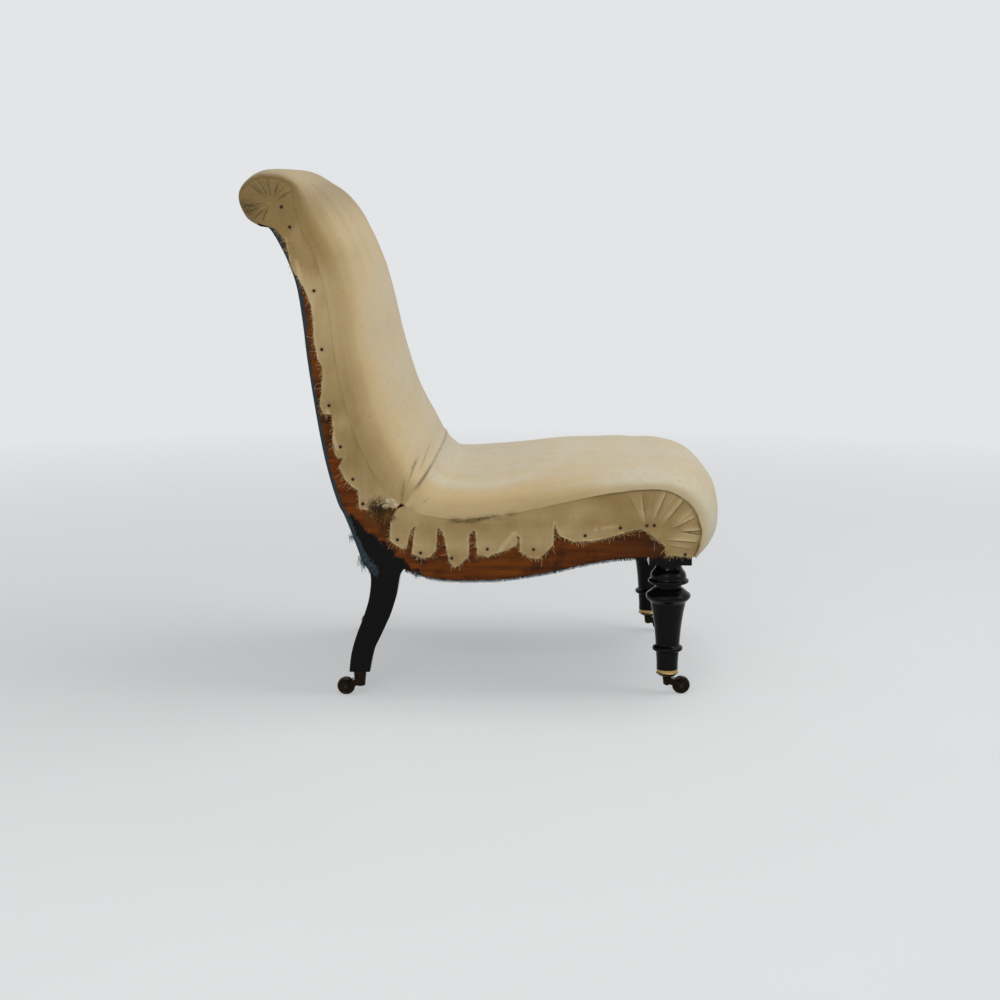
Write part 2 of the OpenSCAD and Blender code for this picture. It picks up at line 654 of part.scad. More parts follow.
// Padding of horsehair, and the calico drawn over it
cover_columns = 15;
stuffing_inset = cover_t + layer_gap;
module seat_stuffing()
    color("sienna")
        between(skin(seat_edge, seat_crown, stuffing_inset, cover_columns),
                bed(seat_layer(layer_gap * 2 + hessian_t), stuffing_inset, cover_columns));
module back_stuffing()
    color("sienna")
        between(skin(back_edge, back_crown, stuffing_inset, cover_columns),
                bed(back_layer(layer_gap * 3 + strap_t + hessian_t), stuffing_inset,
                    cover_columns));
module calico(edges, crowns, hem) {
    lap = [for (i = [1 : len(edges) - 2]) rise_from(edges[i], crowns[i], hem_lap)];
    thinning = cover_t * 0.2;
    color("wheat") {
        between(skin(edges, crowns, 0, cover_columns),
                skin(edges, crowns, cover_t, cover_columns));
        for (side = [left, right]) on_side(side)
            across(half_w + layer_gap + thinning, half_w + layer_gap + cover_t - thinning)
                polygon(concat(lap, places(hem)));
    }
}
module seat_calico() calico(seat_edge, seat_crown, seat_hem_shares);
module back_calico() calico(back_edge, back_crown, back_hem_shares);

// Dark cloth over the outside of the back, and black cloth under the seat
lining_path = concat(stile_rear, [for (i = [1 : 3]) place(leg_rear_shares[i])]);
module back_lining()
    color("#2b3540")
        across(-half_w + hessian_inset, half_w - hessian_inset)
            band(moved(lining_path, [layer_gap, 0]),
                 moved(lining_path, [layer_gap + lining_t, 0]));
module bottom_lining() {
    top = moved(rail_bottom, [0, -layer_gap]);
    low = moved(top, [0, -lining_t]);
    color("#1c1c1e") {
        across(-half_w + hessian_inset, half_w - hessian_inset)
            intersection() {
                band(top, low);
                window(block_back + layer_gap, post_front - layer_gap, 0, seat_h);
            }
        across(-half_w + block_w + layer_gap, half_w - block_w - layer_gap)
            intersection() {
                band(top, low);
                window(block_front + hessian_inset, block_back + cut, 0, seat_h);
            }
        across(-half_w + sabre_t + layer_gap, half_w - sabre_t - layer_gap)
            window(post_front - cut, rear_rail_y + cross_t / 2, low[0][1], top[0][1]);
    }
}

// Tacks with their shanks along Z, the heads on top
tack_head_r = 2.4;
tack_head_h = 0.9;
tack_shank_r = 0.8;
tack_l = 10;
module tack() {
    cylinder(h = tack_head_h, r1 = tack_head_r, r2 = tack_head_r * 0.6);
    translate([0, 0, -tack_l])
        cylinder(h = tack_l, r = tack_shank_r);
}
module cover_tacks()
    color("#2a211a")
        for (side = [left, right], shares = concat(seat_tack_shares, back_tack_shares))
            on_side(side)
                translate([half_w + layer_gap + cover_t, place(shares)[0], place(shares)[1]])
                    rotate([0, 90, 0])
                        tack();
first_lining_tack_share = -0.32;
lining_tack_step_share = 0.055;
last_lining_tack_share = 0.15;
module lining_tacks()
    color("#2a211a")
        for (side = [left, right]) on_side(side) {
            for (share = [first_lining_tack_share : lining_tack_step_share : last_lining_tack_share])
                translate([half_w - rail_t / 4, share * chair_d,
                           rail_bottom_z(share * chair_d) - layer_gap - lining_t])
                    rotate([180, 0, 0])
                        tack();
            for (i = [2 : 2 : len(stile_rear) - 3])
                translate([half_w - rail_t / 2, stile_rear[i][0] + layer_gap + lining_t,
                           stile_rear[i][1]])
                    rotate([-90, 0, 0])
                        tack();
        }

// Castors: a cup or plate and a riveted pin on the leg, and a horn that swivels on the pin
front = 1;
rear = -1;
wheel_r = wheel_d / 2;
plate_t = 2.6;
plate_r = 12;
axle_gap = 0.02;
horn_bottom = wheel_d * 0.54;
pin_head_r = pin_r * 1.55;
pin_head_h = pin_r * 0.55;
cheek_t = 2.4;
wheel_play = 0.7;
horn_half = wheel_w / 2 + wheel_play + cheek_t;
front_boss_r = 7;
rear_boss_r = 9.8;
axle_head_r = axle_r * 1.6;
axle_head_h = axle_r * 0.45;
// Outline of a cheek, as shares of the trail and of the wheel's diameter
cheek_shares = [[0.15, 0.96], [-0.25, 0.95], [-0.6, 0.84], [-0.95, 0.71], [-1.18, 0.61],
                [-1.24, 0.5], [-1.18, 0.38], [-1, 0.31], [-0.78, 0.36], [-0.45, 0.5],
                [-0.15, 0.57], [0.15, 0.57]];
module at_castor(end, side)
    translate([side * (end == front ? front_leg_x : rear_leg_x),
               end == front ? front_leg_y : rear_castor_y, 0])
        rotate([0, 0, end == front ? 0 : 180])
            children();
module along_axle(length, radius)
    translate([0, -trail, wheel_r])
        rotate([0, 90, 0])
            cylinder(h = length, r = radius, center = true);
module castor_cup(side)
    color("goldenrod")
        at_castor(front, side)
            rotate_extrude()
                polygon([[spigot_r + pin_fit, castor_h], [cup_r, castor_h],
                         [cup_r, blend(cup_bottom, castor_h, 0.62)],
                         [cup_r + cup_wall / 3, blend(cup_bottom, castor_h, 0.54)],
                         [cup_r + cup_wall / 3, blend(cup_bottom, castor_h, 0.42)],
                         [cup_r - cup_wall / 2, blend(cup_bottom, castor_h, 0.32)],
                         [cup_r * 0.8, blend(cup_bottom, castor_h, 0.1)],
                         [cup_r * 0.62, cup_bottom], [pin_r + pin_fit, cup_bottom],
                         [pin_r + pin_fit, spigot_bottom], [spigot_r + pin_fit, spigot_bottom]]);
module castor_plate(side)
    color("darkgoldenrod")
        at_castor(rear, side)
            difference() {
                translate([0, 0, castor_h - plate_t])
                    cylinder(h = plate_t, r = plate_r);
                cylinder(h = castor_h + cut, r = pin_r + pin_fit);
            }
module castor_pin(end, side)
    color("dimgray")
        at_castor(end, side) {
            translate([0, 0, horn_bottom - run_gap - pin_head_h])
                cylinder(h = pin_head_h, r1 = pin_head_r * 0.7, r2 = pin_head_r);
            translate([0, 0, horn_bottom - run_gap])
                cylinder(h = pin_top - horn_bottom - cup_wall, r = pin_r);
        }
module castor_horn(end, side) {
    boss_r = end == front ? front_boss_r : rear_boss_r;
    boss_top = (end == front ? cup_bottom : castor_h - plate_t) - layer_gap;
    color("darkgoldenrod")
        at_castor(end, side)
            difference() {
                union() {
                    rotate_extrude()
                        polygon([[0, horn_bottom], [boss_r * 0.82, horn_bottom],
                                 [boss_r * 0.88, blend(horn_bottom, boss_top, 0.3)],
                                 [boss_r, blend(horn_bottom, boss_top, 0.8)],
                                 [boss_r, boss_top], [0, boss_top]]);
                    across(-horn_half, horn_half)
                        polygon([for (s = smooth(cheek_shares, 3)) [s[0] * trail, s[1] * wheel_d]]);
                }
                along_axle(wheel_w + wheel_play * 2, wheel_r + wheel_play);
                cylinder(h = castor_h, r = pin_r + run_gap);
                along_axle(horn_half * 3, axle_r + axle_gap);
            }
}
module castor_axle(end, side)
    color("dimgray")
        at_castor(end, side) {
            along_axle(horn_half * 2, axle_r);
            for (way = [left, right])
                translate([way * (horn_half + axle_head_h / 2), 0, 0])
                    along_axle(axle_head_h, axle_head_r);
        }
module castor_wheel(end, side)
    color("#4a3a2c")
        at_castor(end, side)
            translate([0, -trail, wheel_r])
                rotate([0, 90, 0])
                    rotate_extrude()
                        polygon(concat(wheel_half(1), flip(wheel_half(-1))));
function wheel_half(way) = [
    [axle_r + run_gap, way * wheel_w * 0.5], [wheel_r * 0.34, way * wheel_w * 0.5],
    [wheel_r * 0.42, way * wheel_w * 0.42], [wheel_r * 0.66, way * wheel_w * 0.42],
    [wheel_r * 0.8, way * wheel_w * 0.47], [wheel_r * 0.93, way * wheel_w * 0.4],
    [wheel_r, way * wheel_w * 0.22]];

// Least gap of a spring's wire to itself, from its line
echo(least_spring_gap = least_gap(spring_line(0, spring_y_shares[1] * chair_d)));

front_leg(left);  // front_leg_left
front_leg(right);  // front_leg_right
rear_leg(left);  // rear_leg_left
rear_leg(right);  // rear_leg_right
side_rail(left);  // side_rail_left
side_rail(right);  // side_rail_right
back_stile(left);  // back_stile_left
back_stile(right);  // back_stile_right
front_rail();
rear_rail();
stuffing_rail();
crest_rail();
corner_blocks();
block_screws();
frame_dowels();
seat_webbing();
seat_springs();
lashing_cord();
spring_hessian();
seat_stuffing();
seat_calico();
back_webbing();
back_hessian();
back_stuffing();
back_calico();
back_lining();
bottom_lining();
cover_tacks();
lining_tacks();
castor_cup(left);  // castor_cup_front_left
castor_cup(right);  // castor_cup_front_right
castor_plate(left);  // castor_plate_rear_left
castor_plate(right);  // castor_plate_rear_right
castor_pin(front, left);  // castor_pin_front_left
castor_pin(front, right);  // castor_pin_front_right
castor_pin(rear, left);  // castor_pin_rear_left
castor_pin(rear, right);  // castor_pin_rear_right
castor_horn(front, left);  // castor_horn_front_left
castor_horn(front, right);  // castor_horn_front_right
castor_horn(rear, left);  // castor_horn_rear_left
castor_horn(rear, right);  // castor_horn_rear_right
castor_axle(front, left);  // castor_axle_front_left
castor_axle(front, right);  // castor_axle_front_right
castor_axle(rear, left);  // castor_axle_rear_left
castor_axle(rear, right);  // castor_axle_rear_right
castor_wheel(front, left);  // castor_wheel_front_left
castor_wheel(front, right);  // castor_wheel_front_right
castor_wheel(rear, left);  // castor_wheel_rear_left
castor_wheel(rear, right);  // castor_wheel_rear_right
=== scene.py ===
import json
import math
import random
import bmesh
import bpy
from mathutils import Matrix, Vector, kdtree, noise


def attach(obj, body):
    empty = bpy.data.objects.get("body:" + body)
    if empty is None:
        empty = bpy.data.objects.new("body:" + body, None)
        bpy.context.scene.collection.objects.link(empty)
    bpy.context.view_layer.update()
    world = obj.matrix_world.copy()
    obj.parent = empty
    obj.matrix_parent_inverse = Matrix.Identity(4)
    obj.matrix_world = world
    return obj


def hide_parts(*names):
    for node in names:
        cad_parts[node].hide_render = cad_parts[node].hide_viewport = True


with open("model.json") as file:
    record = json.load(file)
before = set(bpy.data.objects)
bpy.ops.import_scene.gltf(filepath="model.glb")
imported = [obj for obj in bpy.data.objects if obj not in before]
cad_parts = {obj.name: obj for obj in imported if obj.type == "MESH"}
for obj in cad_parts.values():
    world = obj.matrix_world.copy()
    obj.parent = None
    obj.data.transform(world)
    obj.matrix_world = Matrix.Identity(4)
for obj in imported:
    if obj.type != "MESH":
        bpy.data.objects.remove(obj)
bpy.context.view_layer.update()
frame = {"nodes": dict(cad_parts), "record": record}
cadNodes = frame["nodes"]
mm = 0.001
print("frame loaded")


# Small helpers for numbers and meshes

def clamped(value):
    return min(max(value, 0.0), 1.0)


def fade(value, low, high):  # 0 at low and 1 at high, smooth between them
    t = clamped((value - low) / (high - low))
    return t * t * (3 - 2 * t)


def bell(distance, width):  # 1 at no distance, dying away over the width
    return math.exp(-(distance / width) ** 2)


def waver(x, y, z, scale, seed=0.0):  # smooth noise from -1 to 1
    return noise.noise(Vector((x / scale + seed, y / scale - seed, z / scale + seed * 0.7)))


def polar(radius, angle):
    return Vector((math.cos(math.radians(angle)), math.sin(math.radians(angle)))) * radius


def inScene(name, data):
    obj = bpy.data.objects.new(name, data)
    bpy.context.collection.objects.link(obj)
    return obj


def newObject(name, bm, material, smooth=True):
    mesh = bpy.data.meshes.new(name)
    bm.to_mesh(mesh)
    bm.free()
    mesh.materials.append(material)
    for polygon in mesh.polygons:
        polygon.use_smooth = smooth
    return inScene(name, mesh)


def addPart(bm, part):  # moves one bmesh into another
    mesh = bpy.data.meshes.new("part")
    part.to_mesh(mesh)
    part.free()
    bm.from_mesh(mesh)
    bpy.data.meshes.remove(mesh)


def uvGrid(across, along):
    bm = bmesh.new()
    bm.loops.layers.uv.new("UVMap")
    bmesh.ops.create_grid(bm, x_segments=across, y_segments=along, size=0.5, calc_uvs=True)
    return bm


def thicken(obj, thickness, offset):  # gives a sheet its wall and keeps the finished mesh
    wall = obj.modifiers.new("wall", "SOLIDIFY")
    wall.thickness = thickness
    wall.offset = offset
    shown = bpy.context.evaluated_depsgraph_get()
    mesh = bpy.data.meshes.new_from_object(obj.evaluated_get(shown))
    obj.modifiers.clear()
    obj.data = mesh
    mesh.set_sharp_from_angle(angle=math.radians(50))
    return obj


def declare(obj, slotName, *replaced):  # each piece made here rides on the chair itself
    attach(obj, "chair")
    if replaced:
        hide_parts(*replaced)
    return obj


# Small helpers for materials

class Paint:  # the nodes of one material, or of the world
    def __init__(self, name, world=None):
        self.owner = world or bpy.data.materials.new(name)
        self.owner.use_nodes = True
        self.tree = self.owner.node_tree
        self.shader = self.tree.nodes["Background" if world else "Principled BSDF"]
        if world is None:
            self.place = self.add("ShaderNodeTexCoord").outputs["Object"]

    def add(self, kind, **values):
        node = self.tree.nodes.new(kind)
        for key, value in values.items():
            setattr(node, key, value)
        return node

    def link(self, start, end):
        self.tree.links.new(start, end)

    def noise(self, scale, detail=3.0, rough=0.55, source=None):  # scale is one number, or one for each axis
        source = self.place if source is None else source
        if isinstance(scale, tuple):
            stretch = self.add("ShaderNodeMapping")
            self.link(source, stretch.inputs["Vector"])
            stretch.inputs["Scale"].default_value = scale
            source, scale = stretch.outputs["Vector"], 1.0
        node = self.add("ShaderNodeTexNoise")
        self.link(source, node.inputs["Vector"])
        node.inputs["Scale"].default_value = scale
        node.inputs["Detail"].default_value = detail
        node.inputs["Roughness"].default_value = rough
        return node.outputs["Fac"]

    def wave(self, source, thread, direction, wobble=0.0):
        node = self.add("ShaderNodeTexWave", bands_direction=direction)
        self.link(source, node.inputs["Vector"])
        node.inputs["Scale"].default_value = 1 / thread / 6.283  # one band to about two threads
        node.inputs["Distortion"].default_value = wobble
        return node.outputs["Fac"]

    def ramp(self, source, low, high, start=0.0, end=1.0):
        node = self.add("ShaderNodeMapRange", clamp=True)
        self.link(source, node.inputs["Value"])
        node.inputs["From Min"].default_value = low
        node.inputs["From Max"].default_value = high
        node.inputs["To Min"].default_value = start
        node.inputs["To Max"].default_value = end
        return node.outputs["Result"]

    def mix(self, amount, first, second, blend="MIX"):
        node = self.add("ShaderNodeMix", data_type="RGBA", blend_type=blend)
        self.feed(node.inputs[0], amount)
        self.feed(node.inputs[6], first)
        self.feed(node.inputs[7], second)
        return node.outputs[2]

    def sum(self, first, second, operation="ADD"):
        node = self.add("ShaderNodeMath", operation=operation)
        self.feed(node.inputs[0], first)
        self.feed(node.inputs[1], second)
        return node.outputs[0]

    def times(self, first, second):
        return self.sum(first, second, "MULTIPLY")

    def feed(self, socket, value):
        if isinstance(value, bpy.types.NodeSocket):
            self.link(value, socket)
        elif isinstance(value, tuple):
            socket.default_value = value + (1.0,)
        else:
            socket.default_value = value

    def attribute(self, name):
        return self.add("ShaderNodeAttribute", attribute_name=name).outputs["Fac"]

    def axis(self, name):
        node = self.add("ShaderNodeSeparateXYZ")
        self.link(self.place, node.inputs[0])
        return node.outputs[name]

    def background(self):  # 1 for rays that show the background, 0 for those that light the chair
        rays = self.add("ShaderNodeLightPath").outputs
        seen = self.sum(rays["Is Camera Ray"], rays["Is Glossy Ray"], "MAXIMUM")
        return self.sum(seen, rays["Is Transmission Ray"], "MAXIMUM")

    def bump(self, height, strength, distance):
        node = self.add("ShaderNodeBump")
        self.link(height, node.inputs["Height"])
        node.inputs["Strength"].default_value = strength
        node.inputs["Distance"].default_value = distance
        self.link(node.outputs["Normal"], self.shader.inputs["Normal"])

    def finish(self, colour, rough, **fixed):
        self.feed(self.shader.inputs["Base Color"], colour)
        self.feed(self.shader.inputs["Roughness"], rough)
        for key, value in fixed.items():
            self.shader.inputs[key.replace("_", " ")].default_value = value
        return self.owner


def calicoMaterial():
    cloth = {"pale": (0.61, 0.53, 0.38), "yellow": (0.585, 0.43, 0.22), "aged": (0.33, 0.22, 0.08),
             "soiled_and_shaded": (0.075, 0.045, 0.012), "stained": (0.42, 0.28, 0.12), "speck": (0.26, 0.16, 0.07),
             "thread": 0.0009, "newness": 0.29, "rough": 0.9}
    p = Paint("calico")
    uv = p.add("ShaderNodeTexCoord").outputs["UV"]
    blotch = p.ramp(p.noise(7.0, 5.0), 0.35, 0.7)
    streak = p.ramp(p.noise((1.2, 34.0, 1.0), source=uv), 0.35, 0.68)
    slubs = p.ramp(p.noise((40.0, 420.0, 1.0), rough=0.7, source=uv), 0.3, 0.7)
    cross = p.ramp(p.noise((420.0, 30.0, 1.0), rough=0.7, source=uv), 0.3, 0.7)
    mottle = p.ramp(p.noise(55.0, 6.0, 0.75), 0.3, 0.7)
    threads = p.sum(slubs, cross)
    shade = p.sum(p.times(p.sum(blotch, streak), 0.14), p.times(p.sum(threads, mottle), 0.1))
    # the age value also holds painted light and shade, besides the cloth's yellowing
    age_and_shading = p.sum(p.sum(p.attribute("age_and_shading"), shade), cloth["newness"], "SUBTRACT")
    colour = p.mix(p.ramp(age_and_shading, 0.0, 0.5), cloth["pale"], cloth["yellow"])
    colour = p.mix(p.ramp(age_and_shading, 0.5, 1.0), colour, cloth["aged"])
    uneven = p.times(p.ramp(mottle, 0.0, 1.0, 0.93, 1.04), p.ramp(threads, 0.0, 2.0, 0.94, 1.05))
    colour = p.mix(1.0, colour, uneven, "MULTIPLY")
    stain = p.ramp(p.noise(21.0, 4.0, 0.6), 0.64, 0.76, 0.0, 0.3)
    colour = p.mix(stain, colour, cloth["stained"])
    speck = p.ramp(p.noise(150.0, 2.0), 0.67, 0.75, 0.0, 0.4)
    colour = p.mix(speck, colour, cloth["speck"])
    broken = p.ramp(p.noise(260.0, 4.0, 0.7), 0.36, 0.62)
    # the soil value also holds painted shade in the crease and in the valleys of folds
    grime_and_shade = p.times(p.attribute("soil_and_shade"), p.sum(p.times(broken, 0.65), 0.35))
    colour = p.mix(grime_and_shade, colour, cloth["soiled_and_shaded"])
    warp = p.wave(uv, cloth["thread"], "X")
    weft = p.wave(uv, cloth["thread"], "Y")
    slub = p.noise((60.0, 900.0, 1.0), 2.0, source=uv)
    p.bump(p.sum(p.sum(warp, weft), p.times(slub, 1.2)), 0.35, 0.00025)
    weave = p.ramp(p.times(warp, weft), 0.0, 0.6, 0.88, 1.04)
    colour = p.mix(1.0, colour, weave, "MULTIPLY")
    return p.finish(colour, cloth["rough"], Sheen_Weight=0.2, Sheen_Roughness=0.6, Specular_IOR_Level=0.2)


def fibreMaterial(name, light, dark):  # loose threads, hair and wadding
    p = Paint(name)
    streak = p.ramp(p.noise(220.0), 0.35, 0.65)
    p.bump(p.noise(900.0), 0.4, 0.0004)
    return p.finish(p.mix(streak, light, dark), 0.85, Specular_IOR_Level=0.2)


def hairMaterial():
    p = Paint("horsehair")
    streak = p.ramp(p.noise((30.0, 900.0, 400.0)), 0.3, 0.75)
    p.bump(p.noise(600.0, 4.0), 0.8, 0.001)
    return p.finish(p.mix(streak, (0.035, 0.022, 0.014), (0.16, 0.1, 0.055)), 0.75)


timber = {"stainLight": (0.2, 0.05, 0.005), "stainDark": (0.06, 0.016, 0.0025), "char": (0.012, 0.006, 0.003),
          "black": (0.0035, 0.003, 0.0026), "worn": (0.03, 0.015, 0.008)}


def stainColour(p):  # orange stain over beech grain, dark in patches and towards the front
    grain = p.ramp(p.noise((300.0, 9.0, 170.0), 4.0), 0.3, 0.75)
    colour = p.mix(grain, timber["stainLight"], timber["stainDark"])
    patch = p.ramp(p.noise(22.0, 5.0, 0.65), 0.5, 0.7, 0.0, 0.8)
    colour = p.mix(patch, colour, timber["char"])
    fleck = p.add("ShaderNodeTexVoronoi")
    p.link(p.place, fleck.inputs["Vector"])
    fleck.inputs["Scale"].default_value = 120.0
    hole = p.ramp(fleck.outputs["Distance"], 0.06, 0.12, 1.0, 0.0)
    colour = p.mix(hole, colour, timber["char"])
    front = p.ramp(p.axis("Y"), -0.26, -0.1, 0.62, 0.0)
    return p.mix(front, colour, timber["char"]), grain


def aboveBlack(p):  # 0 where the legs are ebonised, 1 on the stained blocks and posts over them
    y = p.axis("Y")
    line = p.sum(p.ramp(y, 0.082, 0.197, 0.184, 0.284), p.ramp(y, -0.2558, -0.2548, 0.043, 0.0))
    rough = p.ramp(p.noise(60.0, 5.0, 0.7), 0.25, 0.75, -0.014, 0.014)
    return p.ramp(p.sum(p.sum(p.axis("Z"), line, "SUBTRACT"), rough), -0.003, 0.004)


def ebonyMaterial():
    p = Paint("ebonised_wood")
    wear = p.ramp(p.noise(38.0, 6.0, 0.7), 0.62, 0.74, 0.0, 0.5)
    black = p.mix(wear, timber["black"], timber["worn"])
    stain, grain = stainColour(p)
    above = aboveBlack(p)
    gloss = p.ramp(p.noise(60.0, 4.0), 0.3, 0.8, 0.1, 0.2)
    p.bump(p.noise((300.0, 300.0, 24.0)), 0.1, 0.0004)
    return p.finish(p.mix(above, black, stain), p.sum(gloss, p.times(above, 0.3)), Specular_IOR_Level=0.1)


def stainedMaterial():
    p = Paint("stained_beech")
    stain, grain = stainColour(p)
    p.bump(grain, 0.2, 0.0004)
    return p.finish(p.mix(aboveBlack(p), timber["char"], stain), 0.5, Specular_IOR_Level=0.08)


def beechMaterial():
    p = Paint("plain_beech")
    grain = p.noise((12.0, 220.0, 220.0), 4.0)
    p.bump(grain, 0.2, 0.0004)
    return p.finish(p.mix(grain, (0.5, 0.33, 0.18), (0.3, 0.17, 0.08)), 0.62)


def weaveMaterial(name, light, dark, thread, contrast=0.5):
    p = Paint(name)
    warp, weft, rise = [p.wave(p.place, thread, direction, 0.4) for direction in "XYZ"]
    cloth = p.sum(p.sum(warp, weft), rise)
    colour = p.mix(p.ramp(cloth, 0.8, 2.2, 0.5 - contrast, 0.5 + contrast), dark, light)
    colour = p.mix(p.ramp(p.noise(16.0, 5.0), 0.4, 0.75, 0.0, 0.6), colour, dark)
    p.bump(cloth, contrast, thread * 0.3)
    return p.finish(colour, 0.9, Sheen_Weight=0.1, Sheen_Roughness=0.6, Specular_IOR_Level=0.2)


def metalMaterial(name, light, dark, rough):
    p = Paint(name)
    tarnish = p.ramp(p.noise(55.0, 6.0, 0.65), 0.35, 0.68)
    gloss = p.ramp(p.noise(110.0, 4.0), 0.3, 0.75, rough * 0.7, rough * 1.4)
    p.bump(p.noise(700.0), 0.1, 0.0002)
    return p.finish(p.mix(tarnish, light, dark), gloss, Metallic=1.0)


def cupMaterial():  # brass, still bright round the top of the cup and tarnished below
    brass = {"bright": (0.75, 0.52, 0.2), "dull": (0.28, 0.17, 0.06), "tarnish": (0.03, 0.02, 0.012),
             "from": 0.0345}
    p = Paint("castor_brass")
    patch = p.ramp(p.noise(55.0, 6.0, 0.65), 0.35, 0.68)
    height = p.sum(p.axis("Z"), p.times(p.noise(90.0), 0.003))
    worn = p.ramp(height, brass["from"] + 0.0012, brass["from"] + 0.0022)
    colour = p.mix(worn, brass["tarnish"], p.mix(patch, brass["bright"], brass["dull"]))
    p.bump(p.noise(700.0), 0.1, 0.0002)
    return p.finish(colour, p.ramp(p.noise(110.0, 4.0), 0.3, 0.75, 0.18, 0.36), Metallic=1.0)


calico = calicoMaterial()
materials = {"calico": calico, "horsehair": hairMaterial(), "castor_brass": cupMaterial(),
             "ebonised_wood": ebonyMaterial(), "stained_beech": stainedMaterial(),
             "plain_beech": beechMaterial()}
for name, values in {  # light, dark, thread, contrast
        "jute_webbing": ((0.45, 0.33, 0.18), (0.2, 0.13, 0.06), 0.0022),
        "hessian": ((0.42, 0.31, 0.17), (0.16, 0.1, 0.05), 0.0026),
        "laid_cord": ((0.5, 0.42, 0.27), (0.24, 0.18, 0.1), 0.0018),
        "blue_lining": ((0.04, 0.058, 0.07), (0.014, 0.022, 0.028), 0.0011, 0.06),
        "black_lining": ((0.022, 0.024, 0.03), (0.008, 0.008, 0.01), 0.0011, 0.06)}.items():
    materials[name] = weaveMaterial(name, *values)
for name, values in {  # light, dark, roughness
        "blued_tacks": ((0.06, 0.045, 0.035), (0.02, 0.012, 0.008), 0.5),
        "spring_steel": ((0.22, 0.16, 0.12), (0.06, 0.04, 0.03), 0.45),
        "screw_steel": ((0.5, 0.48, 0.45), (0.25, 0.2, 0.16), 0.4),
        "pin_steel": ((0.05, 0.04, 0.034), (0.02, 0.015, 0.012), 0.4),
        "castor_bronze": ((0.024, 0.017, 0.011), (0.009, 0.007, 0.005), 0.3)}.items():
    materials[name] = metalMaterial(name, *values)
calicoThread = fibreMaterial("calico_thread", (0.62, 0.48, 0.27), (0.44, 0.31, 0.14))
straw = fibreMaterial("straw", (0.36, 0.19, 0.045), (0.14, 0.07, 0.02))
darkHair = fibreMaterial("dark_hair", (0.03, 0.017, 0.01), (0.09, 0.045, 0.022))
wadding = fibreMaterial("wadding", (0.66, 0.58, 0.42), (0.4, 0.29, 0.15))
blueThread = fibreMaterial("blue_thread", (0.1, 0.15, 0.18), (0.03, 0.045, 0.06))
blackThread = fibreMaterial("black_thread", (0.009, 0.01, 0.013), (0.004, 0.004, 0.005))
for part in frame["record"]["subparts"]:
    for slot in cadNodes[part["node"]].material_slots:
        slot.material = materials[part["material_slot"]]
print("materials made")


# Outlines of the chair from the side. Points are in thousandths of its depth, and of its height up to the
# crease, then above 1000 of the back's height over the crease

chair = {"halfWidth": 245 * mm, "depth": 741 * mm, "seatHeight": 381 * mm, "backHeight": 436 * mm,
         "bulge": 4 * mm, "squareness": 2.4}


def places(*numbers):
    spots = []
    for y, z in zip(numbers[::2], numbers[1::2]):
        height = min(z / 1000, 1) * chair["seatHeight"] + max(z / 1000 - 1, 0) * chair["backHeight"]
        spots.append(Vector((y / 1000 * chair["depth"], height)))
    return spots


def around(axis, radius, shares, angles):
    return [axis + polar(radius * share, angle) for share, angle in zip(shares, angles)]


def smoothPath(points, steps):
    path = []
    for i in range(len(points) - 1):
        a = points[max(i - 1, 0)]
        b = points[i]
        c = points[i + 1]
        d = points[min(i + 2, len(points) - 1)]
        for k in range(steps):
            t = k / steps
            path.append((b * 2 + (c - a) * t + (a * 2 - b * 5 + c * 4 - d) * t * t
                         + (b * 3 - a - c * 3 + d) * t * t * t) / 2)
    return path + [points[-1].copy()]


class Padding:  # stations of the padding, each from its edge on the frame up to its crown
    def __init__(self, edges, crowns, steps=6):
        self.edges = smoothPath(edges, steps)
        self.crowns = smoothPath(crowns, steps)
        self.marks = [0.0]
        for i in range(1, len(self.edges)):
            step = (self.edges[i] - self.edges[i - 1]).length + (self.crowns[i] - self.crowns[i - 1]).length
            self.marks.append(self.marks[-1] + step / 2)
        self.length = self.marks[-1]

    def station(self, share):
        target = share * self.length
        i = 0
        while i < len(self.marks) - 2 and self.marks[i + 1] < target:
            i += 1
        t = (target - self.marks[i]) / max(self.marks[i + 1] - self.marks[i], 1e-9)
        return self.edges[i].lerp(self.edges[i + 1], t), self.crowns[i].lerp(self.crowns[i + 1], t)


legBlock = {"front": -322 * mm, "noseRadius": 64 * mm, "rollRadius": 112 * mm, "drop": 4 * mm}
rollAxis = Vector((legBlock["front"] + legBlock["noseRadius"],
                   chair["seatHeight"] - legBlock["drop"] - legBlock["rollRadius"]))
rollAngles = (90, 112, 134, 156, 178, 195, 210)
rollEdges = (1.035, 1.07, 1.12, 1.17, 1.22, 1.22, 1.22)
rollCrowns = (0.89, 0.965, 1.07, 1.1, 1.04, 0.93, 0.77)
seatPadding = Padding(
    places(163, 803, 144, 780, 119, 761, 37, 745, -67, 772, -160, 811, -242, 845, -300, 861)
    + around(rollAxis, legBlock["noseRadius"], rollEdges, rollAngles),
    places(94, 1000, 70, 952, 47, 933, -32, 943, -110, 956, -177, 965, -252, 966, -306, 964)
    + around(rollAxis, legBlock["rollRadius"], rollCrowns, rollAngles))

scroll = {"axis": places(437, 1888)[0], "radius": 47 * mm, "angles": (-70, -40, 0, 30, 70, 110, 130, 154),
          "edges": (0.73, 0.73, 0.79, 0.79, 0.73, 0.73, 0.8, 0.91),
          "crowns": (0.96, 0.98, 1, 1.02, 1.04, 1.06, 1.22, 1.46)}
backPadding = Padding(
    around(scroll["axis"], scroll["radius"], scroll["edges"], scroll["angles"])
    + places(377, 1858, 365, 1782, 343, 1709, 326, 1617, 312, 1502, 303, 1365, 289, 1227, 268, 1101,
             238, 976, 200, 866, 163, 803),
    around(scroll["axis"], scroll["radius"], scroll["crowns"], scroll["angles"])
    + places(314, 1915, 281, 1852, 257, 1779, 239, 1708, 221, 1622, 203, 1514, 188, 1404, 170, 1298,
             147, 1179, 116, 1080, 94, 1000))


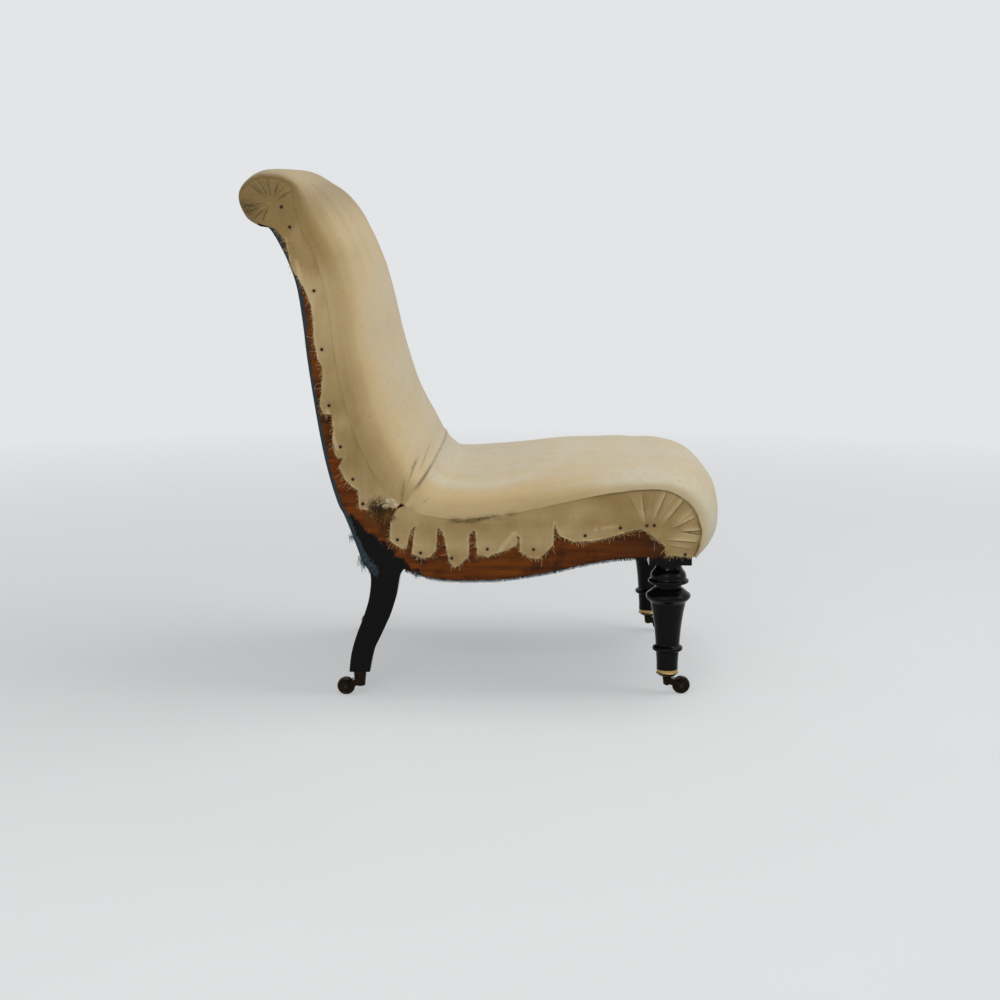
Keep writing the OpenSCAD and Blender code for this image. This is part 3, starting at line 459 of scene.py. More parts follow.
def ragged(outline, step, depth, seed):  # a torn edge: the same line, finely uneven
    rng = random.Random(seed)
    torn = []
    for a, b in zip(outline, outline[1:]):
        run = b - a
        count = max(int(run.length / step), 1)
        across = Vector((-run.y, run.x)).normalized()
        for k in range(count):
            torn.append(a.lerp(b, k / count) + across * rng.uniform(-depth, depth))
    return torn + [outline[-1]]


def lineTree(line, step=0.4 * mm):  # points close together along a line, to find distances to it
    spots = []
    for a, b in zip(line, line[1:]):
        count = max(int((b - a).length / step), 1)
        spots += [a.lerp(b, k / count) for k in range(count)]
    tree = kdtree.KDTree(len(spots))
    for i, spot in enumerate(spots):
        tree.insert((*spot, 0), i)
    tree.balance()
    return tree


def distanceTo(point, tree):
    return tree.find((*point, 0))[2]


# The padding's skin

skin = {"width": chair["halfWidth"] + 1.5 * mm, "rise": 80 * mm, "steps": 400, "fineSteps": 2000,
        "gather": 1.35}


def oval(angle):  # the squared half oval that each section of the padding follows
    power = 2 / chair["squareness"]
    return math.copysign(abs(math.cos(angle)) ** power, math.cos(angle)), max(math.sin(angle), 0.0) ** power


def sectionAngles():  # even steps along one section of the padding, and the section's length
    last = skin["fineSteps"]
    table = []
    for k in range(last + 1):
        across, up = oval(math.pi * k / last)
        table.append(Vector((skin["width"] * across, skin["rise"] * up)))
    marks = [0.0]
    for a, b in zip(table, table[1:]):
        marks.append(marks[-1] + (b - a).length)
    angles = []
    i = 0
    for k in range(skin["steps"] + 1):
        target = marks[-1] * k / skin["steps"]
        while i < last - 1 and marks[i + 1] < target:
            i += 1
        angles.append(math.pi * (i + (target - marks[i]) / (marks[i + 1] - marks[i])) / last)
    return angles, marks[-1]


def paddingPoint(padding, share, angle, inset):
    edge, crown = padding.station(share)
    run = crown - edge
    across, up = oval(angle)
    width = skin["width"] - inset + chair["bulge"] * math.sin(math.pi * up) ** 2
    spot = edge + run * (up * (run.length - inset) / run.length)
    return Vector((width * across, *spot)), up * run.length


def closer(share, padding):  # places the columns closer together where the seat meets the back
    share = clamped(share)
    return share ** skin["gather"] if padding is seatPadding else 1 - (1 - share) ** skin["gather"]


def paddedSkin(padding, columns, rows, inset, shape):
    # an open skin, with its UV map in metres and at each point a value of soil and painted shade, and one of
    # age and painted light and shade
    bm = uvGrid(columns, rows)
    angles, breadth = sectionAngles()
    soil_and_shade = bm.verts.layers.float.new("soil_and_shade")
    age_and_shading = bm.verts.layers.float.new("age_and_shading")
    pushes = {}
    for v in bm.verts:
        share = closer(v.co.x + 0.5, padding)
        across = clamped(v.co.y + 0.5)
        spot = across * skin["steps"]
        low = min(int(spot), skin["steps"] - 1)
        angle = angles[low] + (angles[low + 1] - angles[low]) * (spot - low)
        v.co, height = paddingPoint(padding, share, angle, inset)
        pushes[v] = shape(share, across, height, v.co)
    uv = bm.loops.layers.uv.active
    for face in bm.faces:
        for loop in face.loops:
            loop[uv].uv = (closer(loop[uv].uv.x, padding) * padding.length, loop[uv].uv.y * breadth)
    if sum(f.normal.z * f.calc_area() for f in bm.faces) < 0:
        bmesh.ops.reverse_faces(bm, faces=bm.faces)
    bm.normal_update()
    for v, (push, shade_and_dirt, years_and_shading) in pushes.items():
        v[soil_and_shade] = shade_and_dirt
        # painted shade: the more the padding faces sideways, the yellower and darker it is made
        v[age_and_shading] = min(years_and_shading + 0.5 * abs(v.normal.x) ** 1.5, 1.0)
        v.co += v.normal * push
    return bm


def crossings(outline, y):  # heights at which an upright line crosses the outline
    found = []
    for a, b in zip(outline, outline[1:] + outline[:1]):
        if (a.x <= y) != (b.x <= y):
            found.append(a.y + (b.y - a.y) * (y - a.x) / (b.x - a.x))
    return sorted(found)


def trimmedGrid(outline, cell):
    # a flat grid in Y and Z, cut to an outline, with its border drawn onto the outline
    low = [min(p[k] for p in outline) for k in (0, 1)]
    high = [max(p[k] for p in outline) for k in (0, 1)]
    counts = [max(int((high[k] - low[k]) / cell), 1) for k in (0, 1)]
    step = (high[0] - low[0]) / counts[0]
    bm = uvGrid(*counts)
    for v in bm.verts:
        v.co = (0.0, *[low[k] + (v.co[k] + 0.5) * (high[k] - low[k]) for k in (0, 1)])
    columns = [crossings(outline, low[0] + (i + 0.5) * step) for i in range(counts[0])]
    outside = []
    for face in bm.faces:
        middle = face.calc_center_median()
        column = columns[min(int((middle.y - low[0]) / step), counts[0] - 1)]
        if sum(z < middle.z for z in column) % 2 == 0:
            outside.append(face)
    bmesh.ops.delete(bm, geom=outside, context="FACES")
    edge = lineTree(outline + outline[:1])
    for v in bm.verts:
        if v.is_boundary:
            spot = edge.find((v.co.y, v.co.z, 0))[0]
            v.co = (0.0, *spot.xy)
    return bm


def toSegment(spot, start, end):
    t = clamped((spot - start).dot(end - start) / (end - start).length_squared)
    return (spot - start.lerp(end, t)).length


def nearPleat(point, pleats):
    return any(toSegment(point.yz, start, end) < 4 * mm for start, end, height in pleats)


def sidePanel(form, side, outline, lift):
    # calico laid flat on the side of the frame and shaped by lift(point), finer where it is pleated
    bm = trimmedGrid(outline, 2 * mm)
    fine = [e for e in bm.edges if nearPleat((e.verts[0].co + e.verts[1].co) / 2, form["pleats"])]
    bmesh.ops.subdivide_edges(bm, edges=fine, cuts=1, use_grid_fill=True)
    soil_and_shade = bm.verts.layers.float.new("soil_and_shade")
    age_and_shading = bm.verts.layers.float.new("age_and_shading")
    uv = bm.loops.layers.uv.active
    for face in bm.faces:
        for loop in face.loops:
            spot = loop.vert.co
            loop[uv].uv = (spot.y, spot.z) if form["onSeat"] else (spot.z, spot.y)
    base = chair["halfWidth"] + 1.3 * mm
    for v in bm.verts:
        rise, v[soil_and_shade], v[age_and_shading] = lift(v.co.yz)
        v.co.x = side * (base + rise)
    bm.normal_update()
    bmesh.ops.reverse_faces(bm, faces=[f for f in bm.faces if f.normal.x * side < 0])
    return bm


def folds(point, lines):
    # folds along straight lines: each rises sharply on one side and dies away on the other, with painted
    # shade in its valley
    past = 4 * mm
    reach = 20 * mm
    rise = depth = 0.0
    for start, end, height in lines:
        run = end - start
        along = (point - start).dot(run) / run.length
        beside = ((point.x - start.x) * -run.y + (point.y - start.y) * run.x) / run.length
        beside *= math.copysign(1, height)
        if not -past <= along <= run.length + past or abs(beside) > reach:
            continue
        strength = fade(along, -past, run.length * 0.3)
        strength *= 1 - fade(along, run.length * 0.6, run.length + past)
        sharp = fade(beside, -0.6 * mm, 0.5 * mm)
        rise += strength * abs(height) * sharp * math.exp(-max(beside, 0.0) / (4.5 * mm))
        # painted shade in the fold's valley
        depth += strength * min(abs(height) / (3 * mm), 1.0) * bell(beside + 0.4 * mm, 0.9 * mm)
    return rise, min(depth, 1.0)


def foldLines(*rows):
    return [(Vector(r[0:2]) * mm, Vector(r[2:4]) * mm, r[4] * mm) for r in rows]


# Calico of the seat and of the back. The torn hems run from the front leg to the crease, and from there up
# to the scroll. Pleats, places where the torn edge has rolled over and folds beside the crease are lines in
# mm, each with its height. Each pull starts at a share of the padding's length, leans and reaches so far

seatCalico = {
    "name": "seatCover", "node": "seat_calico", "rests": ["seatHair", "side_rail_left", "side_rail_right"],
    "area": 0.38, "padding": seatPadding, "columns": 176, "seed": 11, "onSeat": True, "years_and_shading": 0.84,
    "lumps": (75 * mm, 1.0), "pulls": ((0.02, 0.1, 0.3), (0.045, 0.19, 0.26), (0.075, 0.3, 0.2)),
    "hem": places(-436, 590, -380, 600, -377, 635, -370, 650, -351, 680, -331, 706, -314, 703, -281, 684,
                  -255, 668, -229, 659, -188, 654, -159, 679, -148, 733, -147, 690, -146, 643, -130, 608,
                  -114, 582, -96, 590, -76, 615, -76, 671, -71, 681, -70, 643, -48, 618, -24, 605, -10, 590,
                  11, 600, 16, 699, 23, 699, 29, 681, 30, 595, 45, 565, 59, 546, 71, 576, 83, 694, 90, 709,
                  95, 709, 98, 619, 110, 592, 126, 585, 148, 604, 142, 703, 134, 727, 150, 703, 161, 623,
                  178, 634, 194, 661, 190, 750, 179, 786),
    "tacks": places(178, 661, 130, 607, 65, 585, -9, 623, -105, 622, -212, 679, -242, 708, -285, 711,
                    -340, 721, -355, 721, -420, 602),
    "pleats": foldLines((-243, 325, -250, 277, 3.4), (-284, 333, -261, 279, 3.8),
                        (-313, 322, -276, 275, 3.8), (-327, 288, -289, 269, 3.2),
                        (-339, 268, -303, 265, 3.6), (-337, 259, -298, 267, -2.8),
                        (-332, 249, -283, 252, 3.2), (-262, 331, -256, 285, 0.8),
                        (-300, 328, -272, 284, 1.0), (-222, 326, -244, 282, -0.7),
                        (-329, 303, -294, 273, 1.4), (-322, 238, -285, 244, 1.6)),
    "rolled": foldLines((-23, 233, -47, 262, 4.5), (-172, 268, -205, 273, 2.5)),
    "folds": foldLines((92, 372, 98, 340, 1.6), (112, 330, 118, 306, -1.2), (78, 395, 84, 360, 1.2))}
backCalico = {
    "name": "backCover", "node": "back_calico", "rests": ["backHair", "back_stile_left", "back_stile_right"],
    "area": 0.42, "padding": backPadding, "columns": 190, "seed": 23, "onSeat": False, "years_and_shading": 0.55,
    "lumps": (85 * mm, 4.0), "pulls": ((0.025, 0.11, 0.3), (0.05, 0.2, 0.26), (0.075, 0.3, 0.18)),
    "hem": places(180, 790, 192, 795, 209, 811, 232, 777, 257, 789, 258, 864, 271, 878, 285, 908, 298, 960,
                  285, 998, 299, 992, 307, 1016, 310, 1058, 308, 1094, 311, 1139, 305, 1144, 316, 1150,
                  327, 1151, 335, 1181, 333, 1200, 330, 1252, 328, 1311, 337, 1339, 345, 1408, 346, 1470,
                  350, 1529, 361, 1580, 377, 1628, 385, 1649, 391, 1677, 395, 1714, 398, 1752, 406, 1766,
                  420, 1790),
    "tacks": places(406, 1864, 390, 1796, 343, 1578, 329, 1375, 316, 1180, 294, 1034, 269, 908, 249, 808),
    "pleats": foldLines((350, 793, 325, 771, 3.0), (336, 799, 321, 773, 3.2), (322, 801, 317, 772, 3.4),
                        (305, 795, 312, 772, 3.0), (286, 782, 308, 768, 3.0), (361, 759, 327, 764, -3.0),
                        (355, 748, 326, 760, 3.0), (329, 737, 320, 757, 3.0), (344, 740, 323, 758, -2.0),
                        (296, 790, 310, 771, 1.2), (345, 797, 324, 774, -1.2)),
    "rolled": foldLines((237, 452, 232, 424, 3.5), (232, 424, 223, 392, 4.0), (281, 676, 274, 650, 2.5)),
    "folds": foldLines((99, 378, 116, 340, 3.0), (121, 345, 125, 308, 3.2), (84, 392, 100, 350, 2.2),
                       (112, 352, 122, 318, -1.0))}


def rimDepth(point):  # how far the calico is drawn in where the seat's padding meets the frame
    return 0.9 * mm * fade(-point.x, 120 * mm, 200 * mm)


def panelLift(form, edgeLine, hemLine, seed):
    edgeTree = lineTree(edgeLine)
    hemTree = lineTree(hemLine)

    def lift(point):
        def uneven(scale, shift):
            return waver(0, *point, scale * mm, seed + shift)

        toEdge = distanceTo(point, edgeTree)
        toHem = distanceTo(point, hemTree)
        nearTack = min((point - t).length for t in form["tacks"])
        # painted shade in the valleys of the pleats, added to the soil value
        rise, shade_and_dirt = folds(point, form["pleats"])
        roll = max(high * bell(toSegment(point, start, end), 2.8 * mm) for start, end, high in form["rolled"])
        curl = (1 - fade(toHem, 0.0, 7 * mm)) * (0.8 + 1.8 * uneven(9, 0)) * mm
        ripple = 0.8 * mm * waver(0, point.x, point.y * 0.6, 15 * mm, seed + 3)
        pinned = bell(nearTack, 5 * mm)
        away = fade(toEdge, 1 * mm, 6 * mm)
        height = roll - rimDepth(point) * bell(toEdge, 4 * mm) - 0.4 * mm * pinned
        height += (rise + (max(curl, 0.0) + ripple) * (1 - pinned)) * away
        front = fade(-point.x, 150 * mm, 200 * mm)
        line = 0.8 * front * bell(toEdge, 1.6 * mm) * fade(uneven(8, 7), -0.35, 0.3)
        halo = 0.22 * front * bell(toEdge, 8 * mm) * fade(uneven(40, 9), -0.3, 0.4)
        rust = 0.5 * bell(nearTack, 3.2 * mm)
        smear = rimSmear(point, toEdge) if form["onSeat"] else scrollStain(point)
        frayed = 0.4 * (1 - fade(toHem, 0.4 * mm, 3 * mm)) * fade(uneven(7, 2), -0.6, 0.5)
        years_and_shading = form["years_and_shading"] + 0.16 * uneven(30, 0) + 0.14 * front - frayed
        # painted highlight: the raised crests of pleats and rolled edges are made paler by their height
        years_and_shading -= 0.5 * rise / (3 * mm) + 0.35 * roll / (4 * mm)
        if not form["onSeat"]:
            years_and_shading += backYears(point)
        return height, min(line + halo + shade_and_dirt + rust + smear, 1.0), years_and_shading
    return lift


def rimSmear(point, toEdge):  # brown smears under the rim in the middle of the seat's side
    along = fade(point.x, -60 * mm, -30 * mm) * (1 - fade(point.x, 40 * mm, 60 * mm))
    spots = fade(waver(0, point.x, point.y * 3, 22 * mm, 2.0), -0.5, 0.15)
    return 1.2 * along * spots * bell(toEdge - 2 * mm, 4 * mm)


def scrollShade(point):  # the end of the scroll is darker than the rest of the back
    return 1 - fade((point - Vector((325, 762)) * mm).length, 30 * mm, 62 * mm)


def backYears(point):  # how much more the back's side has yellowed, low down and at the scroll
    return 0.55 * scrollShade(point) + 0.32 * fade(-point.y, -0.6, -0.46) + 0.4 * fade(point.y, 0.62, 0.72)


def scrollStain(point):
    low = Vector((352, 757)) * mm
    return 0.8 * bell((point - low).length, 14 * mm) + 0.24 * scrollShade(point)


def panelOutline(form, seed):
    count = 130
    lap = 3 * mm
    stations = [form["padding"].station(k / count) for k in range(count + 1)]
    lapped = [edge + (crown - edge).normalized() * lap for edge, crown in stations[1:-1]]
    torn = ragged(form["hem"], 2.2 * mm, 0.6 * mm, seed)
    return lapped + torn, [edge for edge, crown in stations], torn


def creaseAt(beside, height):  # depth of the crease between the seat and the back, and the painted shade along it
    high = fade(height, 20 * mm, 42 * mm)
    depth = (2.5 * bell(beside, 9 * mm) + 4 * bell(beside, 2.6 * mm)) * mm
    depth *= 1 - 0.5 * fade(height, 58 * mm, 76 * mm)
    # painted shade: the second value darkens the calico along the crease
    return depth * high, high * (1 - 0.45 * fade(height, 50 * mm, 66 * mm)) * 1.1 * bell(beside, 1.9 * mm)


def skinPush(form, fromCrease, across, height, point):
    # how far the calico stands off the padding's even form, and the painted shade in its crease and folds
    side = min(across, 1 - across)
    atSide = fade(side, 0.5, 0.3)
    spot = point.yz
    scale, seed = form["lumps"]
    lumps = 1.3 * mm * waver(*point, scale, seed) * fade(height, 0.0, 30 * mm)
    lumps += 0.4 * mm * waver(*point, 24 * mm, seed + 5) * fade(height, 0.0, 10 * mm)
    pull = sum(bell(fromCrease - start - side * lean, 0.006) * (1 - fade(side, reach * 0.3, reach))
               for start, lean, reach in form["pulls"])
    # painted shade along the crease comes back from creaseAt as dark
    crease, dark = creaseAt(fromCrease * form["padding"].length, height)
    # painted shade in the valleys of the folds beside the crease
    rise, shade_and_dirt = folds(spot, form["folds"])
    flush = 0.17 * mm * (1 - fade(height, 0.0, 16 * mm))  # brings the rim level with the calico on the frame
    push = (lumps + pull * mm) * fade(fromCrease, 0.0, 0.03) - crease + rise * atSide
    return push - rimDepth(spot) * bell(height, 4 * mm) - flush, dark, shade_and_dirt * atSide


def seatShape(share, across, height, point):
    push, dark, shade_and_dirt = skinPush(seatCalico, share, across, height, point)
    spot = point.yz
    front = fade(-point.y, 150 * mm, 200 * mm)
    soil_and_shade = 0.75 * front * bell(height, 1.4 * mm) * fade(waver(0, *spot, 24 * mm, 7), -0.25, 0.3)
    soil_and_shade += 0.15 * front * bell(height, 9 * mm) * fade(waver(0, *spot, 40 * mm, 9), -0.3, 0.4)
    soil_and_shade += rimSmear(spot, height * 1.6) + 0.3 * bell((spot - Vector((0.109, 0.3))).length, 5 * mm)
    # painted highlight: a paler band along the seat's shoulder
    shoulder_highlight = bell(height - 56 * mm, 6 * mm) * (0.5 + 0.5 * fade(-share, -0.5, -0.06))
    dull = fade(height, 64 * mm, 72 * mm)
    # painted light: a paler band just above the rim
    lit = bell(height - 12 * mm, 16 * mm) * (0.2 + 0.25 * front)
    # the soil value takes the painted shade of the crease and folds; the age value the painted highlight and
    # light
    return push, min(soil_and_shade + dark + 0.07 * dull + 0.5 * shade_and_dirt, 1.0), 0.22 - 0.24 * shoulder_highlight - 0.12 * dull - lit


def backShape(share, across, height, point):
    push, dark, shade_and_dirt = skinPush(backCalico, 1 - share, across, height, point)
    spot = point.yz
    scrollTop = fade(point.z, 0.7, 0.8) * fade(point.y, 0.12, 0.26)
    # the soil value takes the painted shade of the crease and folds with the scroll's stain
    soil_and_shade = scrollStain(spot) * (1 - fade(height, 6 * mm, 18 * mm)) + dark + 0.75 * shade_and_dirt + 0.32 * scrollTop
    years_and_shading = 0.22 + 0.46 * scrollTop + 0.22 * fade(point.z, 0.55, 0.72) + 0.12 * waver(0, *spot, 60 * mm, 3)
    low = 1 - fade(height, 3 * mm, 42 * mm)
    return push, min(soil_and_shade, 1.0), years_and_shading + (0.07 + backYears(spot) - years_and_shading) * low


hems = {}


def makeCover(form, shape):
    bm = paddedSkin(form["padding"], form["columns"], 128, 0.0, shape)
    for side in (-1, 1):
        outline, edgeLine, torn = panelOutline(form, form["seed"] + side)
        hems[form["name"], side] = torn
        lift = panelLift(form, edgeLine, torn, form["seed"] + side * 3)
        addPart(bm, sidePanel(form, side, outline, lift))
    obj = declare(thicken(newObject(form["name"], bm, calico), 0.7 * mm, -1), "calico", form["node"])
    print(form["name"], "made,", len(obj.data.polygons), "faces")


makeCover(seatCalico, seatShape)
makeCover(backCalico, backShape)


def stuffing(name, padding, columns, replaced):
    # closed pad of horsehair: the skin's form, a little smaller, with its underside on the frame
    inset = 2.3 * mm
    bm = paddedSkin(padding, columns, 60, inset, lambda *where: (0.0, 0.0, 0.0))
    rims = {v for v in bm.verts if v.is_boundary and abs(abs(v.co.x) - (skin["width"] - inset)) < 0.01 * mm}
    bmesh.ops.bridge_loops(bm, edges=[e for e in bm.edges if e.is_boundary and rims.issuperset(e.verts)])
    bmesh.ops.holes_fill(bm, edges=[e for e in bm.edges if e.is_boundary], sides=0)
    bmesh.ops.triangulate(bm, faces=[f for f in bm.faces if len(f.verts) > 4])
    bmesh.ops.recalc_face_normals(bm, faces=bm.faces)
    obj = newObject(name, bm, materials["horsehair"])
    declare(obj, "horsehair", replaced)


stuffing("seatHair", seatPadding, 60, "seat_stuffing")
stuffing("backHair", backPadding, 64, "back_stuffing")
print("stuffing made")


# Linings

def heightOn(path, y):  # height of a path at a place along the chair, the path's Y falling
    for a, b in zip(path, path[1:]):
        if b.x <= y <= a.x:
            return a.y + (b.y - a.y) * (y - a.x) / (b.x - a.x)
    return path[0].y if y > path[0].x else path[-1].y


railBottom = smoothPath(places(
    165, 538, 153, 533, 105, 505, 50, 496, -33, 499, -102, 517, -157, 538, -209, 562, -272, 583, -345, 590,
    -390, 588, -460, 586), 3)
stileRear = smoothPath(places(
    441, 1807, 427, 1787, 411, 1742, 392, 1674, 376, 1589, 365, 1463, 358, 1349, 346, 1203, 330, 1037,
    314, 906, 298, 806, 288, 769, 277, 717, 260, 627, 250, 567), 4)
backSheet = {"wrap": 5.5 * mm, "flat": 0.94, "off": 0.9 * mm, "sag": 2.2 * mm, "thickness": 0.5 * mm}


def makeBackLining():
    # blue cloth stretched over the outside of the back, its edges turned round the stiles
    bm = bmesh.new()
    bmesh.ops.create_grid(bm, x_segments=110, y_segments=200, size=0.5)
    rng = random.Random(5)
    half = chair["halfWidth"]
    last = len(stileRear) - 1
    for v in bm.verts:
        along = (v.co.x + 0.5) * last
        i = min(int(along), last - 1)
        point = stileRear[i].lerp(stileRear[i + 1], along - i)
        run = (stileRear[i + 1] - stileRear[i]).normalized()
        out = Vector((-run.y, run.x))
        side = 1 if v.co.y > 0 else -1
        across = abs(v.co.y) * 2
        foot = fade(along / last, 0.86, 1.0)
        if across <= backSheet["flat"] + 0.001:
            x = across / backSheet["flat"] * (half + 0.4 * mm)
            slack = 1 - fade(x, 200 * mm, 216 * mm)
            sag = backSheet["sag"] * slack * (1 - (x / half) ** 2)
            ripple = 0.8 * mm * slack * waver(side * x, *point, 70 * mm, 8.0)
            spot = point + out * (backSheet["off"] - sag + ripple)
        else:
            turned = (across - backSheet["flat"]) / (1 - backSheet["flat"])
            wrap = backSheet["wrap"] * (0.85 + 0.35 * waver(side, *point, 14 * mm, 6.0)) + 7 * mm * foot
            edge = rng.uniform(-0.7, 0.7) * mm if turned > 0.99 else 0.0
            crumple = 0.12 * waver(side, *point, 6 * mm, 2.0)
            x = half + (0.4 + (0.25 + 1.2 * foot) * turned + crumple) * mm
            spot = point + out * (backSheet["off"] - turned * wrap - edge)
        v.co = (side * x, *spot)
    bmesh.ops.recalc_face_normals(bm, faces=bm.faces)
    back = max(bm.faces, key=lambda f: f.calc_center_median().y)
    if back.normal.y < 0:
        bmesh.ops.reverse_faces(bm, faces=bm.faces)
    return thicken(newObject("backLining", bm, materials["blue_lining"]), backSheet["thickness"], 1)


backLining = declare(makeBackLining(), "blue_lining", "back_lining")


def makeBottomLining():
    # black cloth tacked under the rails, cut round the leg blocks and posts, with a little sag
    half, block, post = chair["halfWidth"] - 1.5 * mm, 178.4 * mm, 198.4 * mm
    front, blockBack, postFront, rear = -320 * mm, -255.4 * mm, 121.7 * mm, 174 * mm
    left = [(front, block), (blockBack, block), (blockBack, half), (postFront, half), (postFront, post),
            (rear, post)]
    corners = [Vector((y, -x)) for y, x in left] + [Vector(c) for c in left[::-1]]
    outline = ragged(corners + corners[:1], 3 * mm, 0.5 * mm, 31)[:-1]
    bm = trimmedGrid(outline, 6 * mm)
    for v in bm.verts:
        y, x = v.co.y, v.co.z
        inside = fade(half - abs(x), 28 * mm, 90 * mm)
        inside *= fade(y - front, 20 * mm, 90 * mm) * fade(rear - y, 20 * mm, 80 * mm)
        sag = inside * (5 + 2 * waver(x, y, 0, 90 * mm, 4.0)) * mm
        v.co = (x, y, heightOn(railBottom, y) - 0.9 * mm - sag)
    bm.normal_update()
    bmesh.ops.reverse_faces(bm, faces=[f for f in bm.faces if f.normal.z > 0])
    return thicken(newObject("bottomLining", bm, materials["black_lining"]), 0.5 * mm, 0)


bottomLining = declare(makeBottomLining(), "black_lining", "bottom_lining")
print("linings made")


# Woven sheets inside the upholstery, as the frame has them
for nodeName, name, rests in (
        ("spring_hessian", "springHessian", ["seat_springs", "side_rail_left", "side_rail_right"]),
        ("back_hessian", "backHessian", ["back_webbing", "back_stile_left", "back_stile_right"])):
    bm = bmesh.new()
    bm.from_mesh(cadNodes[nodeName].data)
    bmesh.ops.remove_doubles(bm, verts=bm.verts, dist=0.01 * mm)
    obj = declare(newObject(name, bm, materials["hessian"], smooth=False), "hessian", nodeName)


# Loose threads, hair and wadding at the tears

def strands(name, lines, thickness, material, slotName):
    # thin fibres along lists of points, made one mesh
    data = bpy.data.curves.new(name, "CURVE")
    data.dimensions = "3D"
    data.bevel_depth = thickness / 2
    data.bevel_resolution = 0
    data.use_fill_caps = True
    for line in lines:
        spline = data.splines.new("POLY")
        spline.points.add(len(line) - 1)
        for point, spot in zip(spline.points, line):
            point.co = (*spot, 1.0)
    source = inScene(name + "Line", data)
    shown = bpy.context.evaluated_depsgraph_get()
    mesh = bpy.data.meshes.new_from_object(source.evaluated_get(shown))
    bpy.data.objects.remove(source)
    mesh.materials.append(material)
    declare(inScene(name, mesh), slotName)


def fibre(rng, root, way, length, droop, curl, least):
    # one fibre: along its way from its root, bending down, curling, and at least so far from the middle
    turn = Vector([rng.uniform(-1, 1) for k in range(3)])
    line = []
    for k in range(6):
        t = k / 5
        bent = turn * (math.sin(t * math.pi * 1.3) * curl * length)
        spot = root + way * (length * t) + bent + Vector((0, 0, -droop * length * t * t))
        line.append(Vector((math.copysign(max(abs(spot.x), least), root.x), *spot.yz)))
    return line


def hemFrays(hem, side, seed):
    rng = random.Random(seed)
    gap = 0.5 * mm
    longest = 8 * mm
    lines = []
    for a, b in zip(hem, hem[1:]):
        run = b - a
        along = run.normalized()
        out = Vector((along.y, -along.x))
        thick = -285 * mm < a.x < -222 * mm and a.y < 0.75  # the thickly frayed corner over the front leg
        for k in range(max(int(run.length / gap), 1)):
            if rng.random() < (0.1 if thick else 0.45):
                continue
            spot = a.lerp(b, rng.random()) - out * (rng.uniform(0.4, 4.5) if thick else 0.8) * mm
            lean = rng.uniform(-0.9, 0.9)
            way = Vector((side * rng.uniform(-0.05, 0.5), out.x + lean * along.x, out.y + lean * along.y))
            length = min(1.6 * mm + rng.expovariate(1 / (1.5 * mm)), longest)
            if rng.random() < 0.035:
                length = rng.uniform(7 * mm, longest * 1.8)
            root = Vector((side * (chair["halfWidth"] + (2.6 if thick else 1.5) * mm), *spot))
            lines.append(fibre(rng, root, way.normalized(), length, 0.35, 0.3 if thick else 0.16,
                               chair["halfWidth"] + 0.6 * mm))
    return lines


for form, threads in ((seatCalico, "seatFrays"), (backCalico, "backFrays")):
    lines = hemFrays(hems[form["name"], -1], -1, 39) + hemFrays(hems[form["name"], 1], 1, 41)
    strands(threads, lines, 0.42 * mm, calicoThread, "calico")
print("hem threads made")


def tuft(rng, side, y, z, spread, count, length, depth, droop, curl, heading=None, turn=0):
    # fibres that stand out of one place on the chair's side, in mm, all ways or about one heading
    lines = []
    for k in range(count):
        angle = rng.uniform(0, 360) if heading is None else rng.gauss(heading, turn)
        way = Vector((side * rng.uniform(0.0, 0.5), *polar(1.0, angle))).normalized()
        spot = Vector((y, z)) * mm + polar(rng.uniform(0, 1) * spread * mm, rng.uniform(0, 360))
        root = Vector((side * (chair["halfWidth"] + rng.uniform(-depth, 0.6) * mm), *spot))
        lines.append(fibre(rng, root, way, rng.uniform(0.5, 1.0) * length * mm, droop, curl,
                           chair["halfWidth"] - depth * mm))
    return lines


def kneeStuffing():
    rng = random.Random(71)
    hair, dry, blue, black = [], [], [], []
    tufts = ((hair, 164, 306, 9, 150, 15, -0.4, 0.1, 0.3),
             (hair, 172, 300, 6, 60, 12, -0.4, 0.3, 0.3, 200, 50),
             (hair, 146, 296, 12, 130, 12, -0.4, 0.3, 0.3),
             (dry, 150, 296, 11, 170, 13, -0.4, 0.3, 0.14, 235, 55),
             (dry, 165, 292, 10, 80, 14, -0.4, 0.2, 0.12, 10, 30),
             (blue, 186, 224, 7, 110, 12, -0.6, 0.6, 0.25, 250, 30),
             (blue, 176, 214, 6, 80, 11, -0.6, 0.6, 0.25, 215, 35),
             (blue, 168, 208, 4, 40, 9, -0.6, 0.6, 0.25, 240, 30),
             (blue, 203, 258, 5, 40, 7, -0.6, 0.5, 0.2, 220, 40),
             (blue, 104, 200, 5, 30, 6, -0.6, 0.5, 0.2, 250, 40))
    for side in (-1, 1):
        for lines, *values in tufts:
            lines += tuft(rng, side, *values)
        for point in stileRear[:-4]:  # whiskers along the blue strip
            blue += tuft(rng, side, point.x / mm - 5.2, point.y / mm - 1, 1.5, 5, 4, -0.7, 0.2, 0.2, 200, 40)
        y = -252.0
        while y < 121:  # the black lining's edge under the rail, from the leg block back to the post
            z = heightOn(railBottom, y * mm) / mm
            black += tuft(rng, side, y, z - 0.4, 0.8, 4, 3.4, -0.3, 0.4, 0.3, 270, 40)
            y += 1.3
    strands("kneeHair", hair, 0.3 * mm, darkHair, "horsehair")
    strands("kneeStraw", dry, 0.42 * mm, straw, "horsehair")
    strands("blueFrays", blue, 0.32 * mm, blueThread, "blue_lining")
    strands("blackFrays", black, 0.55 * mm, blackThread, "black_lining")


kneeStuffing()


